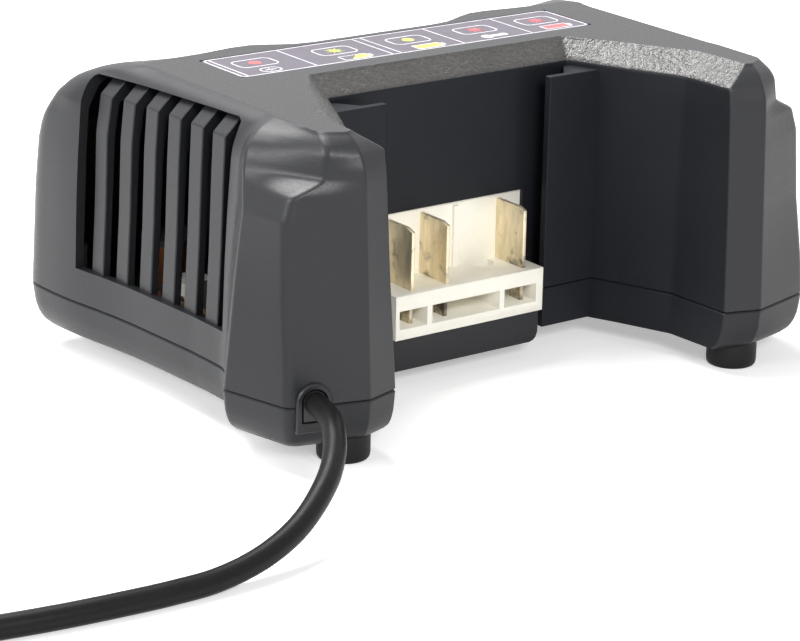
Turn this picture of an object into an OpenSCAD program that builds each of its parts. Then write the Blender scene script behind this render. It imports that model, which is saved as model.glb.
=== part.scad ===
// Slide-on battery charger: two-part moulded shell around a battery bay,
// terminal block with blades, indicator window, mains cord with plug.

/* [Housing] */
// Overall width across the flared front corners
body_width = 197.6; // [194:0.2:202]
// Overall depth from front corners to rear wall
body_depth = 144.8; // [142:0.2:148]
// Height of the flat top above the floor
body_top = 91.5; // [89:0.5:94]
// Height of the seam between the two mouldings
seam_z = 19.5; // [18.5:0.5:20.5]
// Wall thickness of both mouldings
wall = 2.5; // [2:0.1:2.8]

/* [Battery bay] */
// Width between the two arms
bay_width = 116.6; // [114:0.2:118]
// Depth of the bay behind the front corners
bay_depth = 60.4; // [59:0.2:61]
// Free width between the two guide rails
rail_gap = 58.6; // [56:0.2:62]
// Thickness of the guide rails
rail_thickness = 2.5; // [2:0.1:3]

/* [Side louvres] */
// Distance from one louvre vane to the next
vane_pitch = 11.05; // [10.6:0.05:11.3]
// Width of one louvre vane
vane_width = 6.3; // [5.5:0.1:7]

/* [Feet and fixings] */
// Diameter of the rubber feet
foot_diameter = 14.9; // [13:0.1:16]
// Height of the feet below the housing
foot_height = 7; // [6:0.5:8]
// Shank diameter of the housing screws
screw_diameter = 3; // [2.6:0.1:3.4]

/* [Terminals] */
// Thickness of the terminal blades
blade_thickness = 1.2; // [1:0.1:1.5]
// Height of the blades above the shelf
blade_height = 18.4; // [16:0.2:19]

/* [Indicator window] */
// Width of the indicator label
label_width = 126; // [118:1:127]
// Depth of the indicator label
label_depth = 23; // [20:0.5:23.5]

/* [Mains cord] */
// Outer diameter of the mains cord
cord_diameter = 6.2; // [5.8:0.1:6.4]
// Clear gap between neighbouring turns of the coil
turn_gap = 0.7; // [0.6:0.1:1]
// Distance between the plug pins
pin_spacing = 18.6; // [18:0.1:19.2]

/* [Hidden] */
$fn = 32;
eps = 0.01;
fit = 0.3;               // clearance round anything curved
half_w = body_width / 2;
front_y = -body_depth / 2;
rear_y = body_depth / 2;
bay_half = bay_width / 2;
bay_back = front_y + bay_depth;
shell_bottom = foot_height;
top_units = 72;          // the profile tables run from 0 at the seam to this at the top
unit_z = (body_top - seam_z) / top_units;
rail_tip = rail_gap / 2;
rail_front = bay_back - 9.3;

// One outline of the upper moulding, right half, from rear centre round to bay centre.
// Each entry is x, y, corner radius, points on the corner.
function level_z(k) = seam_z + k * unit_z;
function rear_in(k, crest) = lookup(k, [
    [0, 0], [31, 1.8], [45, 3.8], [50, 5], [56, 8.6], [60, 11.8], [64, 15.8], [66, 18.8],
    [69, 26], [71, 32.5], [72, crest]]);
function rear_slope_in(k, crest) = lookup(k, [
    [0, 0], [31, 0.8], [45, 2.5], [52, 6], [58, 0.35 * crest], [63, 0.57 * crest],
    [67, 0.78 * crest], [70, 0.92 * crest], [71.3, 0.975 * crest], [72, crest]]);
function rear_corner_in(k) =
    lookup(k, [[0, 0.5], [31, 1.5], [45, 2], [53, 3.2], [60, 6], [65, 9], [69, 13.6], [71, 17.5], [72, 20]]);
function side_in(k) =
    lookup(k, [[0, 0], [31, 1], [45, 1.8], [60, 3], [63, 3.6], [67, 5.2], [70, 7.6], [71, 9.4], [72, 11.8]]);
function flare_out(k) = lookup(k, [[0, 9.3], [50, 6], [56, 4.6], [65, 4.2], [69, 2.5], [72, 0.4]]);
function bay_open(k) = k <= 66.5 ? 0 : (k - 66.5) / 5.5;

function right_half(k) = [
    [28, rear_y - rear_slope_in(k, 46), 0, 1],
    [40, rear_y - 0.2 - rear_slope_in(k, 38.4), 0, 1],
    [57, rear_y - 0.6 - rear_slope_in(k, 40.4), 0, 1],
    [half_w - 2.3 - rear_corner_in(k), rear_y - 1.4 - rear_in(k, 42.6), k > 71.8 ? 3 : 13, 5],
    [half_w - 3 - side_in(k) - lookup(k, [[60, 0], [65, 1.5], [68.3, 3.6], [72, 5]]),
     rear_y - 23.1 - lookup(k, [[60, 0], [69, 8], [72, 22]]), 0, 1],
    [half_w - 7.3 - side_in(k) - lookup(k, [[60, 0], [72, 1.9]]), rear_y - 50.4, 0, 1],
    [half_w - 9.3 - side_in(k), front_y + 59, 0, 1],
    [half_w - 9.3 - side_in(k), front_y + lookup(k, [[0, 41], [56, 39], [72, 38]]), 0, 1],
    [half_w - 9.3 - side_in(k) + flare_out(k),
     front_y + lookup(k, [[0, 28.4], [50, 27.4], [56, 30.4], [72, 34]]), 2, 2],
    [half_w - lookup(k, [
        [0, 6], [10, 6.4], [29, 7.2], [50, 7.8], [56.4, 9.8], [60.3, 18.9], [67, 19.6], [72, 20.9]]),
     front_y + lookup(k, [
        [0, 6], [10, 6.6], [29, 9.4], [56, 11], [60.3, 8.8], [67, 8.9], [69, 9.8], [71, 12.8], [72, 15]]),
     4, 3],
    [half_w - lookup(k, [[0, 28.6], [60, 28.3], [67, 28.1], [71, 27.8], [72, 27.4]]),
     front_y + lookup(k, [[0, 0], [60, 3.2], [63, 3.6], [67, 5.4], [70, 7.8], [72, 11.4]]), 1.2, 2],
    [bay_half + lookup(k, [[0, 1], [33, 2], [66.5, 2.5], [72, 11.3]]),
     front_y + lookup(k, [[0, 3.4], [33, 5.6], [60, 7.3], [66.5, 8.2], [72, 12]]), 0.8, 2],
    [bay_half + lookup(k, [[0, 0], [60, 1], [66.5, 1.6], [72, 10]]),
     bay_back - 34.4 + 4.6 * bay_open(k), 7, 3],
    [bay_half - 6.9 + 5 * bay_open(k), bay_back - 17.5 + 8.2 * bay_open(k), 0, 1],
    [bay_half - 15 + 2.2 * bay_open(k), bay_back + 6.8 * bay_open(k), 1.5, 2],
];

// The lower moulding: the same outline at the seam, drawn in towards the bottom.
lower_units = 12.5;
unit_low = (seam_z - shell_bottom) / lower_units;
function low_in(k) = lookup(k, [[0, 0], [6, 0.7], [9, 1.7], [11.3, 3.2], [12.5, 5.4]]);
low_pull = [
    [0, -1], [0, -1], [0, -1], [-0.8, -0.8], [-1, 0], [-1, 0], [-1, 0], [-1, 0], [-1, 0.3],
    [-0.75, 0.75], [-0.15, 1], [0, 1], [0, 0], [0, 0], [0, 0],
];
function lower_half(k) = [
    for (i = [0:len(low_pull) - 1])
        let (c = right_half(0)[i], d = low_in(k))
            [c.x + low_pull[i].x * d, c.y + low_pull[i].y * d, c[2], c[3]]
];

// Corner rounding, mirroring, insetting and skinning.
function unit(v) = v / norm(v);
function corner_arc(a, b, c, r, n) =
    n < 2 || r == 0 ? [for (i = [1:n]) b] :
    let (
        u = unit(a - b),
        v = unit(c - b),
        half = acos(max(-1, min(1, u * v))) / 2,
        t = min(r / tan(half), norm(a - b) * 0.45, norm(c - b) * 0.45),
        p = b + u * t,
        q = b + v * t
    )
    [for (i = [0:n - 1]) let (s = i / (n - 1)) (1 - s) * (1 - s) * p + 2 * s * (1 - s) * b + s * s * q];
function rounded(half_list) =
    let (
        n = len(half_list),
        xy = [for (c = half_list) [c.x, c.y]],
        before = concat([[-xy[0].x, xy[0].y]], xy),
        after = concat(xy, [[-xy[n - 1].x, xy[n - 1].y]])
    )
    [for (i = [0:n - 1]) each corner_arc(before[i], xy[i], after[i + 1], half_list[i][2], half_list[i][3])];
function both_sides(right) =
    let (n = len(right))
    concat(right, [for (i = [n - 1:-1:0]) [-right[i].x, right[i].y]]);
function inset_half(half_list, d) =
    let (
        n = len(half_list),
        xy = [for (c = half_list) [c.x, c.y]],
        before = concat([[-xy[0].x, xy[0].y]], xy),
        after = concat(xy, [[-xy[n - 1].x, xy[n - 1].y]])
    )
    [for (i = [0:n - 1])
        let (
            e1 = unit(xy[i] - before[i]),
            e2 = unit(after[i + 1] - xy[i]),
            n1 = [e1.y, -e1.x],
            n2 = [e2.y, -e2.x],
            p = xy[i] + d * (n1 + n2) / (1 + n1 * n2)
        )
        [p.x, p.y, max(half_list[i][2] - d, 0.5), half_list[i][3]]];
function at_z(ring, z) = [for (p = ring) [p.x, p.y, z]];
function wall_faces(rings, n) = [
    for (j = [0:rings - 2], i = [0:n - 1])
        each [
            [j * n + i, (j + 1) * n + (i + 1) % n, (j + 1) * n + i],
            [j * n + i, j * n + (i + 1) % n, (j + 1) * n + (i + 1) % n]
        ]
];
function skin_faces(rings, n) = concat(
    [[for (i = [n - 1:-1:0]) i]],
    [[for (i = [0:n - 1]) (rings - 1) * n + i]],
    wall_faces(rings, n)
);
// The cap of a shell ring: a strip between the outer contour and the bay contour on each side.
function cap_faces(n, outer_count) =
    let (
        m = n / 2,
        a = outer_count - 1,
        b = m - outer_count - 1,
        steps = a + b,
        at = [for (t = [0:steps]) round(t * a / steps)]
    )
    concat(
        [[0, m - 1, m], [0, m, n - 1]],
        [for (t = [0:steps - 1])
            let (i = at[t], j = t - i)
            each at[t + 1] > i
                ? [[i, i + 1, m - 1 - j], [n - 2 - i, n - 1 - i, m + j]]
                : [[i, m - 2 - j, m - 1 - j], [m + j, m + j + 1, n - 1 - i]]]
    );
function flipped(faces) = [for (f = faces) [f[2], f[1], f[0]]];
function shifted(faces, k) = [for (f = faces) f + [k, k, k]];
module shell(rings) {
    n = len(rings[0]);
    last = len(rings) - 1;
    polyhedron(
        points = [for (r = rings) each r],
        faces = concat(
            flipped(cap_faces(n, outer_points)),
            shifted(cap_faces(n, outer_points), last * n),
            wall_faces(len(rings), n)
        ),
        convexity = 8
    );
}
module skin(rings) {
    polyhedron(
        points = [for (r = rings) each r],
        faces = skin_faces(len(rings), len(rings[0])),
        convexity = 8
    );
}

// Both mouldings, as shells of even wall thickness.
upper_levels = [0, 31, 50, 56.4, 60.3, 63, 66.5, 69, 71, 72];
upper_hollow_levels = [70, 66.5, 60.3, 50, 0];
lower_levels = [12.5, 11.3, 9, 6, 0];
lower_hollow_levels = [0, 9, 11.3];
outer_points = 19;       // points of half an outline before it turns into the bay
module upper_shell() {
    shell(concat(
        [for (k = upper_hollow_levels)
            at_z(both_sides(rounded(inset_half(right_half(k), wall))), level_z(k) - (k > 0 ? wall : 0))],
        [for (k = upper_levels) at_z(both_sides(rounded(right_half(k))), level_z(k))]
    ));
}
module lower_shell() {
    shell(concat(
        [for (k = lower_levels) at_z(both_sides(rounded(lower_half(k))), seam_z - k * unit_low)],
        [for (k = lower_hollow_levels)
            at_z(
                both_sides(rounded(inset_half(lower_half(k), wall))),
                k > 0 ? shell_bottom + wall + (11.3 - k) * unit_low : seam_z
            )]
    ));
}
module mirrored() {
    children();
    mirror([1, 0, 0]) children();
}
module block(x0, x1, y0, y1, z0, z1) {
    translate([x0, y0, z0]) cube([x1 - x0, y1 - y0, z1 - z0]);
}

// Guide rails along the back corners of the bay.
rail_top = level_z(64.8);
rail_root = bay_half - 10.9;
module rails(z0, z1) {
    mirrored() translate([0, 0, z0]) linear_extrude(z1 - z0) polygon([
        [rail_tip, rail_front],
        [rail_root + 1.2, rail_front],
        [rail_root + 1.2, rail_front + rail_thickness],
        [bay_half - 13.3, bay_back + 1],
        [bay_half - 16, bay_back + 1],
        [rail_tip + 7, rail_front + rail_thickness],
        [rail_tip, rail_front + rail_thickness],
    ]);
}

// Louvres in the side walls.
vane_count = 6;
vent_front = front_y + 43.4;
vent_gap = vane_pitch - vane_width;
vent_length = vane_count * vane_pitch + vent_gap;
vent_sill = level_z(10.5);
vent_head = level_z(70.1);
vent_inner = half_w - 18.2;
function wall_x(y) = half_w - 9.3 + 0.00152 * pow(max(0, y - front_y - 57.4), 2);
module vent_opening() {
    translate([vent_inner, 0, 0]) rotate([90, 0, 90]) linear_extrude(40) polygon([
        [vent_front, vent_sill],
        [vent_front + vent_length, vent_sill],
        [vent_front + vent_length, vent_head - 2],
        [vent_front, vent_head],
    ]);
}
module vane(i) {
    y = vent_front + vent_gap + i * vane_pitch;
    x = wall_x(y + vane_width / 2) - 1.5;
    swell = wall_x(y + vane_width / 2) - wall_x(vent_front);
    translate([0, y + vane_width, 0]) rotate([90, 0, 0]) linear_extrude(vane_width) polygon([
        [x, vent_sill - 1],
        [x - 2, level_z(52)],
        [x - 3, level_z(66.5 - 0.75 * swell)],
        [vent_inner + 2 + 0.85 * swell, level_z(69.8 - 0.33 * swell)],
        [vent_inner - 1, level_z(69.8 - 0.33 * swell)],
        [vent_inner - 1, level_z(67.8 - 0.2 * swell)],
        [x - 6.4, level_z(64.5 - 0.6 * swell)],
        [x - 4.8, level_z(52)],
        [x - 2.6, vent_sill - 1],
    ]);
}

// Cord entry on the front face of the left arm, across the seam.
entry = [13.1 - half_w, front_y + 4.2];
entry_z = seam_z + 1.7;
entry_turn = -15;
entry_bore = cord_diameter / 2 + 0.4;
entry_drop = 5.5;
collar_proud = 1.2;
clamp_near = 13;
clamp_far = 20;
clamp_half = 9.5;
clamp_low = -cord_diameter / 2 - fit;
clamp_screw_x = 6.6;
cable_end = 21;
module at_entry() {
    translate([entry.x, entry.y, entry_z]) rotate([0, 0, entry_turn]) children();
}
module arch(r, drop, y0, y1) {
    translate([0, y1, 0]) rotate([90, 0, 0]) {
        cylinder(r = r, h = y1 - y0);
        translate([-r, -drop, 0]) cube([2 * r, drop, y1 - y0]);
    }
}
module at_clamp_screws() {
    at_entry() for (x = [-clamp_screw_x, clamp_screw_x])
        translate([x, (clamp_near + clamp_far) / 2, 0]) children();
}

// Screw posts that join the two mouldings, each with the x where its web meets a wall, and the feet.
screw_at = [
    [half_w - 25.5, front_y + 29, bay_half + 1.8],
    [half_w - 27, front_y + 68, half_w - 11],
    [half_w - 16, rear_y - 15, half_w - 4.5],
];
foot_at = [
    [half_w - 28.3, front_y + 11.9],
    [half_w - 28.8, rear_y - 22.4],
];
post_radius = 4;
post_height = 26;
screw_r = screw_diameter / 2;
head_radius = screw_r + 1.3;
head_height = 2;
head_z = shell_bottom + 3.6;
screw_reach = seam_z + 12;
module posts(z0, z1) {
    mirrored() for (p = screw_at) translate([p.x, p.y, z0]) cylinder(r = post_radius, h = z1 - z0);
}
module at_screws() {
    mirrored() for (p = screw_at) translate([p.x, p.y, 0]) children();
}
module at_feet() {
    mirrored() for (p = foot_at) translate([p.x, p.y, 0]) children();
}
foot_stem = 3;

// Terminal block and its window.
block_left = 0.4 - rail_tip;
block_right = 24.7;
plate_left = -33;
plate_right = 27.5;
block_front = bay_back - 14.8;
platform_top = seam_z - 4.3;
platform_bottom = seam_z - 14.4;
shelf_top = seam_z + 8.9;
plate_top = seam_z + 28.8;
plate_face = bay_back + 1;
plate_thickness = 2.2;
blade_x = [-21.3, -8.8, 19.3];
blade_front = block_front + 2.6;
window_low = seam_z - 1.2;
window_high = seam_z + 4.4;
window_x = [[block_left + 1.3, -17.7], [-15.9, 8.7], [10.4, 22.2]];
tail_front = block_front + 3.2;
tail_rear = tail_front + 5;
lug_rear = plate_face + 8;
lug_low = shelf_top + 1.6;
lug_high = shelf_top + 7;
block_fix = [11.5, plate_face - 4.5];
seat_gap = 0.1;

// Board and what stands on it.
board_z = shell_bottom + wall + 8;
board_thick = 1.6;
deck = board_z + board_thick;
board_x = half_w - 22.8;
board_front = bay_back + 15;
board_rear = rear_y - 15;
standoff_at = [[board_x - 5, board_front + 5], [board_x - 5, board_rear - 5]];

// Indicator window.
label_y = (front_y + rear_y) / 2 + 12.9;
label_thick = 0.6;
pocket_z = level_z(69.4);
led_board_z = level_z(63);
led_x = [-46, 5];
led_y = label_y - 3;
led_post = [[-30, label_y], [30, label_y]];

// Mains cord.
cord_r = cord_diameter / 2;
tie_thick = 1;
coil_low = cord_r + tie_thick + fit;
turn_pitch = cord_diameter + turn_gap;
coil_layer = cord_diameter + turn_gap;
coil_turns = 3.375;
coil_mean = 34;
coil_outer = coil_mean + coil_turns * turn_pitch / 2;
coil_inner = coil_mean - coil_turns * turn_pitch / 2;
coil_center = [-242, -60.5];
coil_heading = 169.6;    // direction in which the cord runs into the coil

// A round tube swept along a list of centre points.
function ring_at(p, dir, r, n, ref) =
    let (
        side = unit(cross(dir, ref)),
        up = cross(side, dir)
    )
    [for (i = [0:n - 1]) p + r * (cos(360 * i / n) * side + sin(360 * i / n) * up)];
function path_dir(path, i) =
    i == 0 ? unit(path[1] - path[0]) :
    i == len(path) - 1 ? unit(path[i] - path[i - 1]) :
    unit(unit(path[i + 1] - path[i]) + unit(path[i] - path[i - 1]));
module tube(path, r, n, ref = [0, 0, 1]) {
    skin([for (i = [0:len(path) - 1]) ring_at(path[i], path_dir(path, i), r, n, ref)]);
}
// Points of a smooth curve through hand-set route points.
function spline(p0, p1, p2, p3, t) =
    0.5 * (2 * p1 + (p2 - p0) * t + (2 * p0 - 5 * p1 + 4 * p2 - p3) * t * t
        + (3 * p1 - p0 - 3 * p2 + p3) * t * t * t);
function smooth_path(q, steps) =
    let (n = len(q))
    concat(
        [for (i = [0:n - 2], s = [0:steps - 1])
            spline(q[max(0, i - 1)], q[i], q[i + 1], q[min(n - 1, i + 2)], s / steps)],
        [q[n - 1]]
    );

entry_out = [-sin(15), -cos(15), 0];
cord_start = [entry.x, entry.y, entry_z] + entry_out * collar_proud;
coil_in_dir = [cos(coil_heading), sin(coil_heading), 0];
coil_touch = [coil_center.x, coil_center.y, coil_low]
    + coil_outer * [cos(coil_heading + 90), sin(coil_heading + 90), 0];
coil_end_in = coil_touch - coil_in_dir * cord_diameter;
floor_z = cord_r - 0.5;  // a cord lying on the floor is cut flat by half a millimetre
cord_route = concat(
    [
        cord_start,
        cord_start + entry_out * cord_diameter,
        [-92, -86, seam_z + 2.2],
        [-98.5, -96.3, seam_z - 1.3],
        [-107, -104.7, seam_z - 5.2],
        [-120.5, -113, seam_z - 10.4],
        [-134, -117.3, seam_z - 14],
        [-148, -119, floor_z + 0.6],
        [-161, -118.9, floor_z],
        [-174, -118, floor_z],
        [-190, -116.2, floor_z],
        [-205, -113.6, floor_z],
        [-222, -110.5, floor_z + 0.5],
    ],
    [coil_end_in - coil_in_dir * cord_diameter, coil_end_in]
);
cord_path = smooth_path(cord_route, 3);

// The coil: in on the lower layer, up in half a turn, out on the upper one.
coil_steps = 24;
climb = 0.5;
all_turns = 2 * coil_turns + climb;
function coil_radius(t) =
    t < coil_turns ? coil_outer - turn_pitch * t :
    t < coil_turns + climb ? coil_inner - turn_pitch * climb / 4 * sin(180 * (t - coil_turns) / climb) :
    coil_inner + turn_pitch * (t - coil_turns - climb);
function coil_height(t) =
    coil_low + coil_layer * max(0, min(1, (t - coil_turns) / climb));
function coil_point(t) =
    let (a = coil_heading + 90 - 360 * t, r = coil_radius(t))
    [coil_center.x + r * cos(a), coil_center.y + r * sin(a), coil_height(t)];
coil_spiral = [for (i = [0:coil_steps * all_turns]) coil_point(i / coil_steps)];
coil_last = coil_spiral[len(coil_spiral) - 1];
coil_out_dir = let (a = coil_heading + 90 - 360 * all_turns) [sin(a), -cos(a), 0];
coil_path = concat([coil_end_in], coil_spiral, [coil_last + coil_out_dir * cord_diameter]);

// The short stretch from the coil to the plug, and the plug itself.
plug_thick = 13.6;
plug_half = 17.5;
plug_length = 34;
plug_grip = 12;
plug_turn = -4;
plug_at = [-275, 22, plug_thick / 2];
plug_dir = [-sin(plug_turn), cos(plug_turn), 0];
tail_start = coil_last + coil_out_dir * cord_diameter;
tail_end = plug_at - plug_dir * plug_grip;
tail_route = [
    tail_start,
    tail_start + coil_out_dir * cord_diameter,
    (tail_start + tail_end) / 2 + [-0.3, 0, -2.2],
    tail_end - plug_dir * cord_diameter,
    tail_end,
];
tail_path = smooth_path(tail_route, 4);
module at_plug() {
    translate(plug_at) rotate([0, 0, plug_turn]) children();
}

// Least clear distance between stretches of the coil a third of a turn or more apart.
coil_gap = min([
    for (i = [1:len(coil_path) - 9], j = [i + 8:len(coil_path) - 1])
        norm(coil_path[i] - coil_path[j])
]) - cord_diameter;

module upper_housing() {
    color("#36373a") difference() {
        union() {
            difference() {
                upper_shell();
                mirrored() vent_opening();
                block(
                    -label_width / 2 + 1, label_width / 2 - 1,
                    label_y - label_depth / 2, label_y + label_depth / 2,
                    level_z(66), pocket_z
                );
            }
            mirrored() for (i = [0:vane_count - 1]) vane(i);
            mirrored() for (p = screw_at) {
                translate([p.x, p.y, seam_z]) cylinder(r = post_radius, h = post_height);
                block(min(p.x, p[2]), max(p.x, p[2]), p.y - 1, p.y + 1, seam_z + 0.5, seam_z + 5);
            }
            rails(seam_z + 0.1, rail_top);
            for (p = led_post)
                translate([p.x, p.y, led_board_z + board_thick])
                    cylinder(r = 3, h = pocket_z - led_board_z - board_thick + 1);
            at_entry() intersection() {
                arch(entry_bore + 1.6, 10, -collar_proud, 2);
                translate([-20, -10, seam_z - entry_z]) cube([40, 20, 30]);
            }
        }
        at_entry() arch(entry_bore, 10, -8, 12);
        block(
            -label_width / 2, label_width / 2,
            label_y - label_depth / 2, label_y + label_depth / 2,
            body_top - label_thick, body_top + 1
        );
        for (x = led_x) translate([x, led_y, level_z(65)]) cylinder(r = 1.8, h = 12);
        for (p = led_post)
            translate([p.x, p.y, led_board_z]) cylinder(r = 1.1 + fit, h = 6);
        block(
            plate_left - seat_gap, plate_right + seat_gap,
            bay_back - 1, bay_back + wall + 1, seam_z - 1, plate_top + seat_gap
        );
        at_screws() translate([0, 0, seam_z - 1]) cylinder(r = screw_r + fit, h = screw_reach - seam_z + 2);
    }
}

module lower_housing() {
    color("#333437") difference() {
        union() {
            lower_shell();
            rails(shell_bottom + 0.1, seam_z - 0.1);
            posts(shell_bottom + 1, seam_z);
            mirrored() for (p = standoff_at)
                translate([p.x, p.y, shell_bottom + 1]) cylinder(r = 3.5, h = board_z - shell_bottom - 1);
            translate([0, bay_back + wall, 0]) rotate([90, 0, 0])
                linear_extrude(bay_back + wall - block_front - 1.3) polygon([
                    [-29, platform_top],
                    [-29, platform_bottom],
                    [21.5, platform_bottom],
                    [23.6, platform_bottom + 0.9],
                    [24.5, platform_bottom + 3],
                    [24.5, platform_top],
                ]);
            at_entry() intersection() {
                arch(entry_bore + 1.6, 8.6, -collar_proud, 2);
                translate([-20, -10, seam_z - entry_z - 20]) cube([40, 20, 20]);
            }
            at_entry() block(
                -clamp_half, clamp_half, clamp_near, clamp_far, shell_bottom + 1 - entry_z, clamp_low
            );
        }
        at_entry() arch(entry_bore, entry_drop, -8, 12);
        block(
            plate_left - seat_gap, plate_right + seat_gap,
            bay_back - eps, bay_back + wall + 1, platform_top, seam_z + 1
        );
        block(-26, 21, block_front + 4.5, bay_back + wall + 1, shell_bottom + wall, platform_top - wall);
        translate([block_fix.x, block_fix.y, platform_top - 6]) cylinder(r = 1.3 + fit, h = 7);
        at_screws() {
            translate([0, 0, -1]) cylinder(r = head_radius + fit, h = head_z + 1);
            cylinder(r = screw_r + fit, h = seam_z + 1);
        }
        at_feet() translate([0, 0, shell_bottom - 1]) cylinder(r = foot_stem + fit, h = wall + 2);
        mirrored() for (p = standoff_at)
            translate([p.x, p.y, board_z - 6]) cylinder(r = 1.3 + fit, h = 7);
        at_clamp_screws() translate([0, 0, clamp_low - 6]) cylinder(r = 1.3 + fit, h = 7);
    }
}

module indicator_label() {
    color("#6c6574") block(
        -label_width / 2 + seat_gap, label_width / 2 - seat_gap,
        label_y - label_depth / 2 + seat_gap, label_y + label_depth / 2 - seat_gap,
        body_top - label_thick, body_top - 0.1
    );
}

module terminal_block() {
    color("#e8e2cf") difference() {
        union() {
            block(
                block_left, block_right, block_front, plate_face + plate_thickness, platform_top, shelf_top
            );
            block(plate_left, plate_right, plate_face, plate_face + plate_thickness, platform_top, plate_top);
            block(2.4, 4.1, plate_face - 1, plate_face + 1, shelf_top - 1, plate_top - 1.3);
        }
        for (w = window_x) block(w[0], w[1], block_front - 1, plate_face - 1.5, window_low, window_high);
        intersection() {
            translate([block_fix.x, plate_face - 1.5, window_low + 1]) cylinder(r = 4.5, h = 20);
            block(-50, 50, block_front, plate_face, window_low, plate_top);
        }
        for (x = blade_x) {
            block(
                x - blade_thickness / 2, x + blade_thickness / 2,
                blade_front, plate_face + eps, window_high - 1, shelf_top + 1
            );
            block(
                x - blade_thickness / 2, x + blade_thickness / 2,
                plate_face - 1, plate_face + plate_thickness + 1, lug_low, lug_high
            );
        }
        translate([block_fix.x, block_fix.y, platform_top - 1]) cylinder(r = 1.3 + fit, h = 10);
    }
}
module blade(x) {
    top = shelf_top + blade_height;
    color("#a59d88") translate([x - blade_thickness / 2, 0, 0]) rotate([90, 0, 90])
        linear_extrude(blade_thickness) polygon([
            [blade_front, window_high],
            [tail_front, window_high],
            [tail_front, window_low],
            [tail_rear, window_low],
            [tail_rear, window_high],
            [plate_face, window_high],
            [plate_face, lug_low],
            [lug_rear, lug_low],
            [lug_rear, lug_high],
            [plate_face, lug_high],
            [plate_face, top],
            [blade_front + 2.8, top],
            [blade_front, top - 0.9],
        ]);
}
module blade_left() {
    blade(blade_x[0]);
}
module blade_middle() {
    blade(blade_x[1]);
}
module blade_right() {
    blade(blade_x[2]);
}

module rubber_feet() {
    color("#202022") at_feet() {
        cylinder(d1 = foot_diameter - 0.8, d2 = foot_diameter, h = 0.8);
        translate([0, 0, 0.8]) cylinder(d = foot_diameter, h = foot_height - 0.8);
        translate([0, 0, foot_height - 1]) cylinder(r = foot_stem, h = wall + 2.2);
    }
}
module pan_screw(r, z0, length) {
    translate([0, 0, z0 - head_height]) cylinder(r = r + 1.3, h = head_height);
    translate([0, 0, z0 - eps]) cylinder(r = r, h = length);
}
module down_screw(r, z0, length) {
    translate([0, 0, z0]) cylinder(r = r + 1.2, h = 1.6);
    translate([0, 0, z0 - length]) cylinder(r = r, h = length + eps);
}
module housing_screws() {
    color("#8d8f94") at_screws() pan_screw(screw_r, head_z, screw_reach - head_z);
}
module block_screw_solid() {
    down_screw(1.3, window_low, window_low - platform_top + 4);
}
module block_screw() {
    color("#8d8f94") translate([block_fix.x, block_fix.y, 0]) block_screw_solid();
}

module cord_bushing() {
    color("#1e1e20") at_entry() {
        arch(cord_r + 0.1, entry_drop - 0.3, -collar_proud, wall + 1.2);
        arch(entry_bore + 1.8, entry_drop - 0.3, wall + 1, wall + 3);
    }
}

module inner_cable() {
    color("#202022") at_entry() translate([0, cable_end, 0]) rotate([90, 0, 0])
        cylinder(r = cord_r, h = cable_end - wall - 3);
}
module cord_clamp() {
    color("#26272a") difference() {
        at_entry() block(-clamp_half, clamp_half, clamp_near, clamp_far, clamp_low, cord_r + 3);
        at_entry() arch(cord_r + fit, 5, clamp_near - 1, clamp_far + 1);
        at_clamp_screws() translate([0, 0, clamp_low - 1]) cylinder(r = 1.3 + fit, h = 20);
    }
}
module clamp_screws() {
    color("#8d8f94") at_clamp_screws() down_screw(1.3, cord_r + 3, cord_r + 3 - clamp_low + 5);
}

// Leads inside the housing.
lead_r = 1.1;
inlet = [12 - board_x, board_front + 11];
lead_lane = 16.8 - half_w;
module mains_leads() {
    color("#5d4a3a") for (s = [-1, 1]) {
        begin = [entry.x, entry.y, entry_z]
            + [cos(entry_turn) * s * 1.5, sin(entry_turn) * s * 1.5, 0]
            - entry_out * cable_end;
        finish = [inlet.x - 10, inlet.y + 5 - s * 3, deck + 5];
        tube(smooth_path([
            begin,
            begin - entry_out,
            begin - entry_out * 2,
            [lead_lane + 0.4 + s * 1.8, front_y + 38.4, entry_z + 1],
            [lead_lane + s * 1.8, front_y + 58.4, entry_z + 6.5],
            [lead_lane - 0.4 + s * 2.2, inlet.y - 10, deck + 7],
            finish + [-4.6 + s * 0.6, -1, 0.5],
            finish + [-2.4, 0, 0],
            finish,
        ], 2), lead_r, 6);
    }
}
module inlet_connector() {
    color("#e6e4dc") block(inlet.x - 10, inlet.x, inlet.y, inlet.y + 10, deck, deck + 10);
}
module output_connector() {
    color("#e6e4dc") block(blade_x[0] - 4, blade_x[2] + 4, board_front + 3, board_front + 10, deck, deck + 8);
}
module output_leads() {
    color("#b33a30") for (x = blade_x)
        tube(smooth_path([
            [x, lug_rear, (lug_low + lug_high) / 2],
            [x, lug_rear + 2.4, (lug_low + lug_high) / 2],
            [x, board_front + 4, lug_high + 1.5],
            [x, board_front + 6.5, lug_high - 3],
            [x, board_front + 6.5, deck + 10.4],
            [x, board_front + 6.5, deck + 8],
        ], 2), lead_r, 6, [1, 0, 0]);
}

// Board and components.
module main_board() {
    color("#4f6b3a") difference() {
        block(-board_x, board_x, board_front, board_rear, board_z, deck);
        mirrored() for (p = standoff_at)
            translate([p.x, p.y, board_z - 1]) cylinder(r = 1.3 + fit, h = board_thick + 2);
    }
}
module board_screws() {
    color("#8d8f94") mirrored() for (p = standoff_at) translate([p.x, p.y, 0]) down_screw(1.3, deck, 7);
}
sink_thick = 2.5;
choke_r = 9;
bulk_r = 11;
output_r = 6.3;
package_thick = 4.4;
fin_reach = 4;
chip_width = 10;
winding_over = 3.5;      // winding past the core at each end
core_length = 28;
left_margin = 6;
right_margin = 4;
row_length = 2 * (choke_r + bulk_r + package_thick + sink_thick + fin_reach + winding_over + output_r)
    + core_length + chip_width;
row_gap = (2 * board_x - left_margin - right_margin - row_length) / 6;
choke_x = left_margin + choke_r - board_x;
bulk_x = choke_x + choke_r + row_gap + bulk_r;
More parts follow.
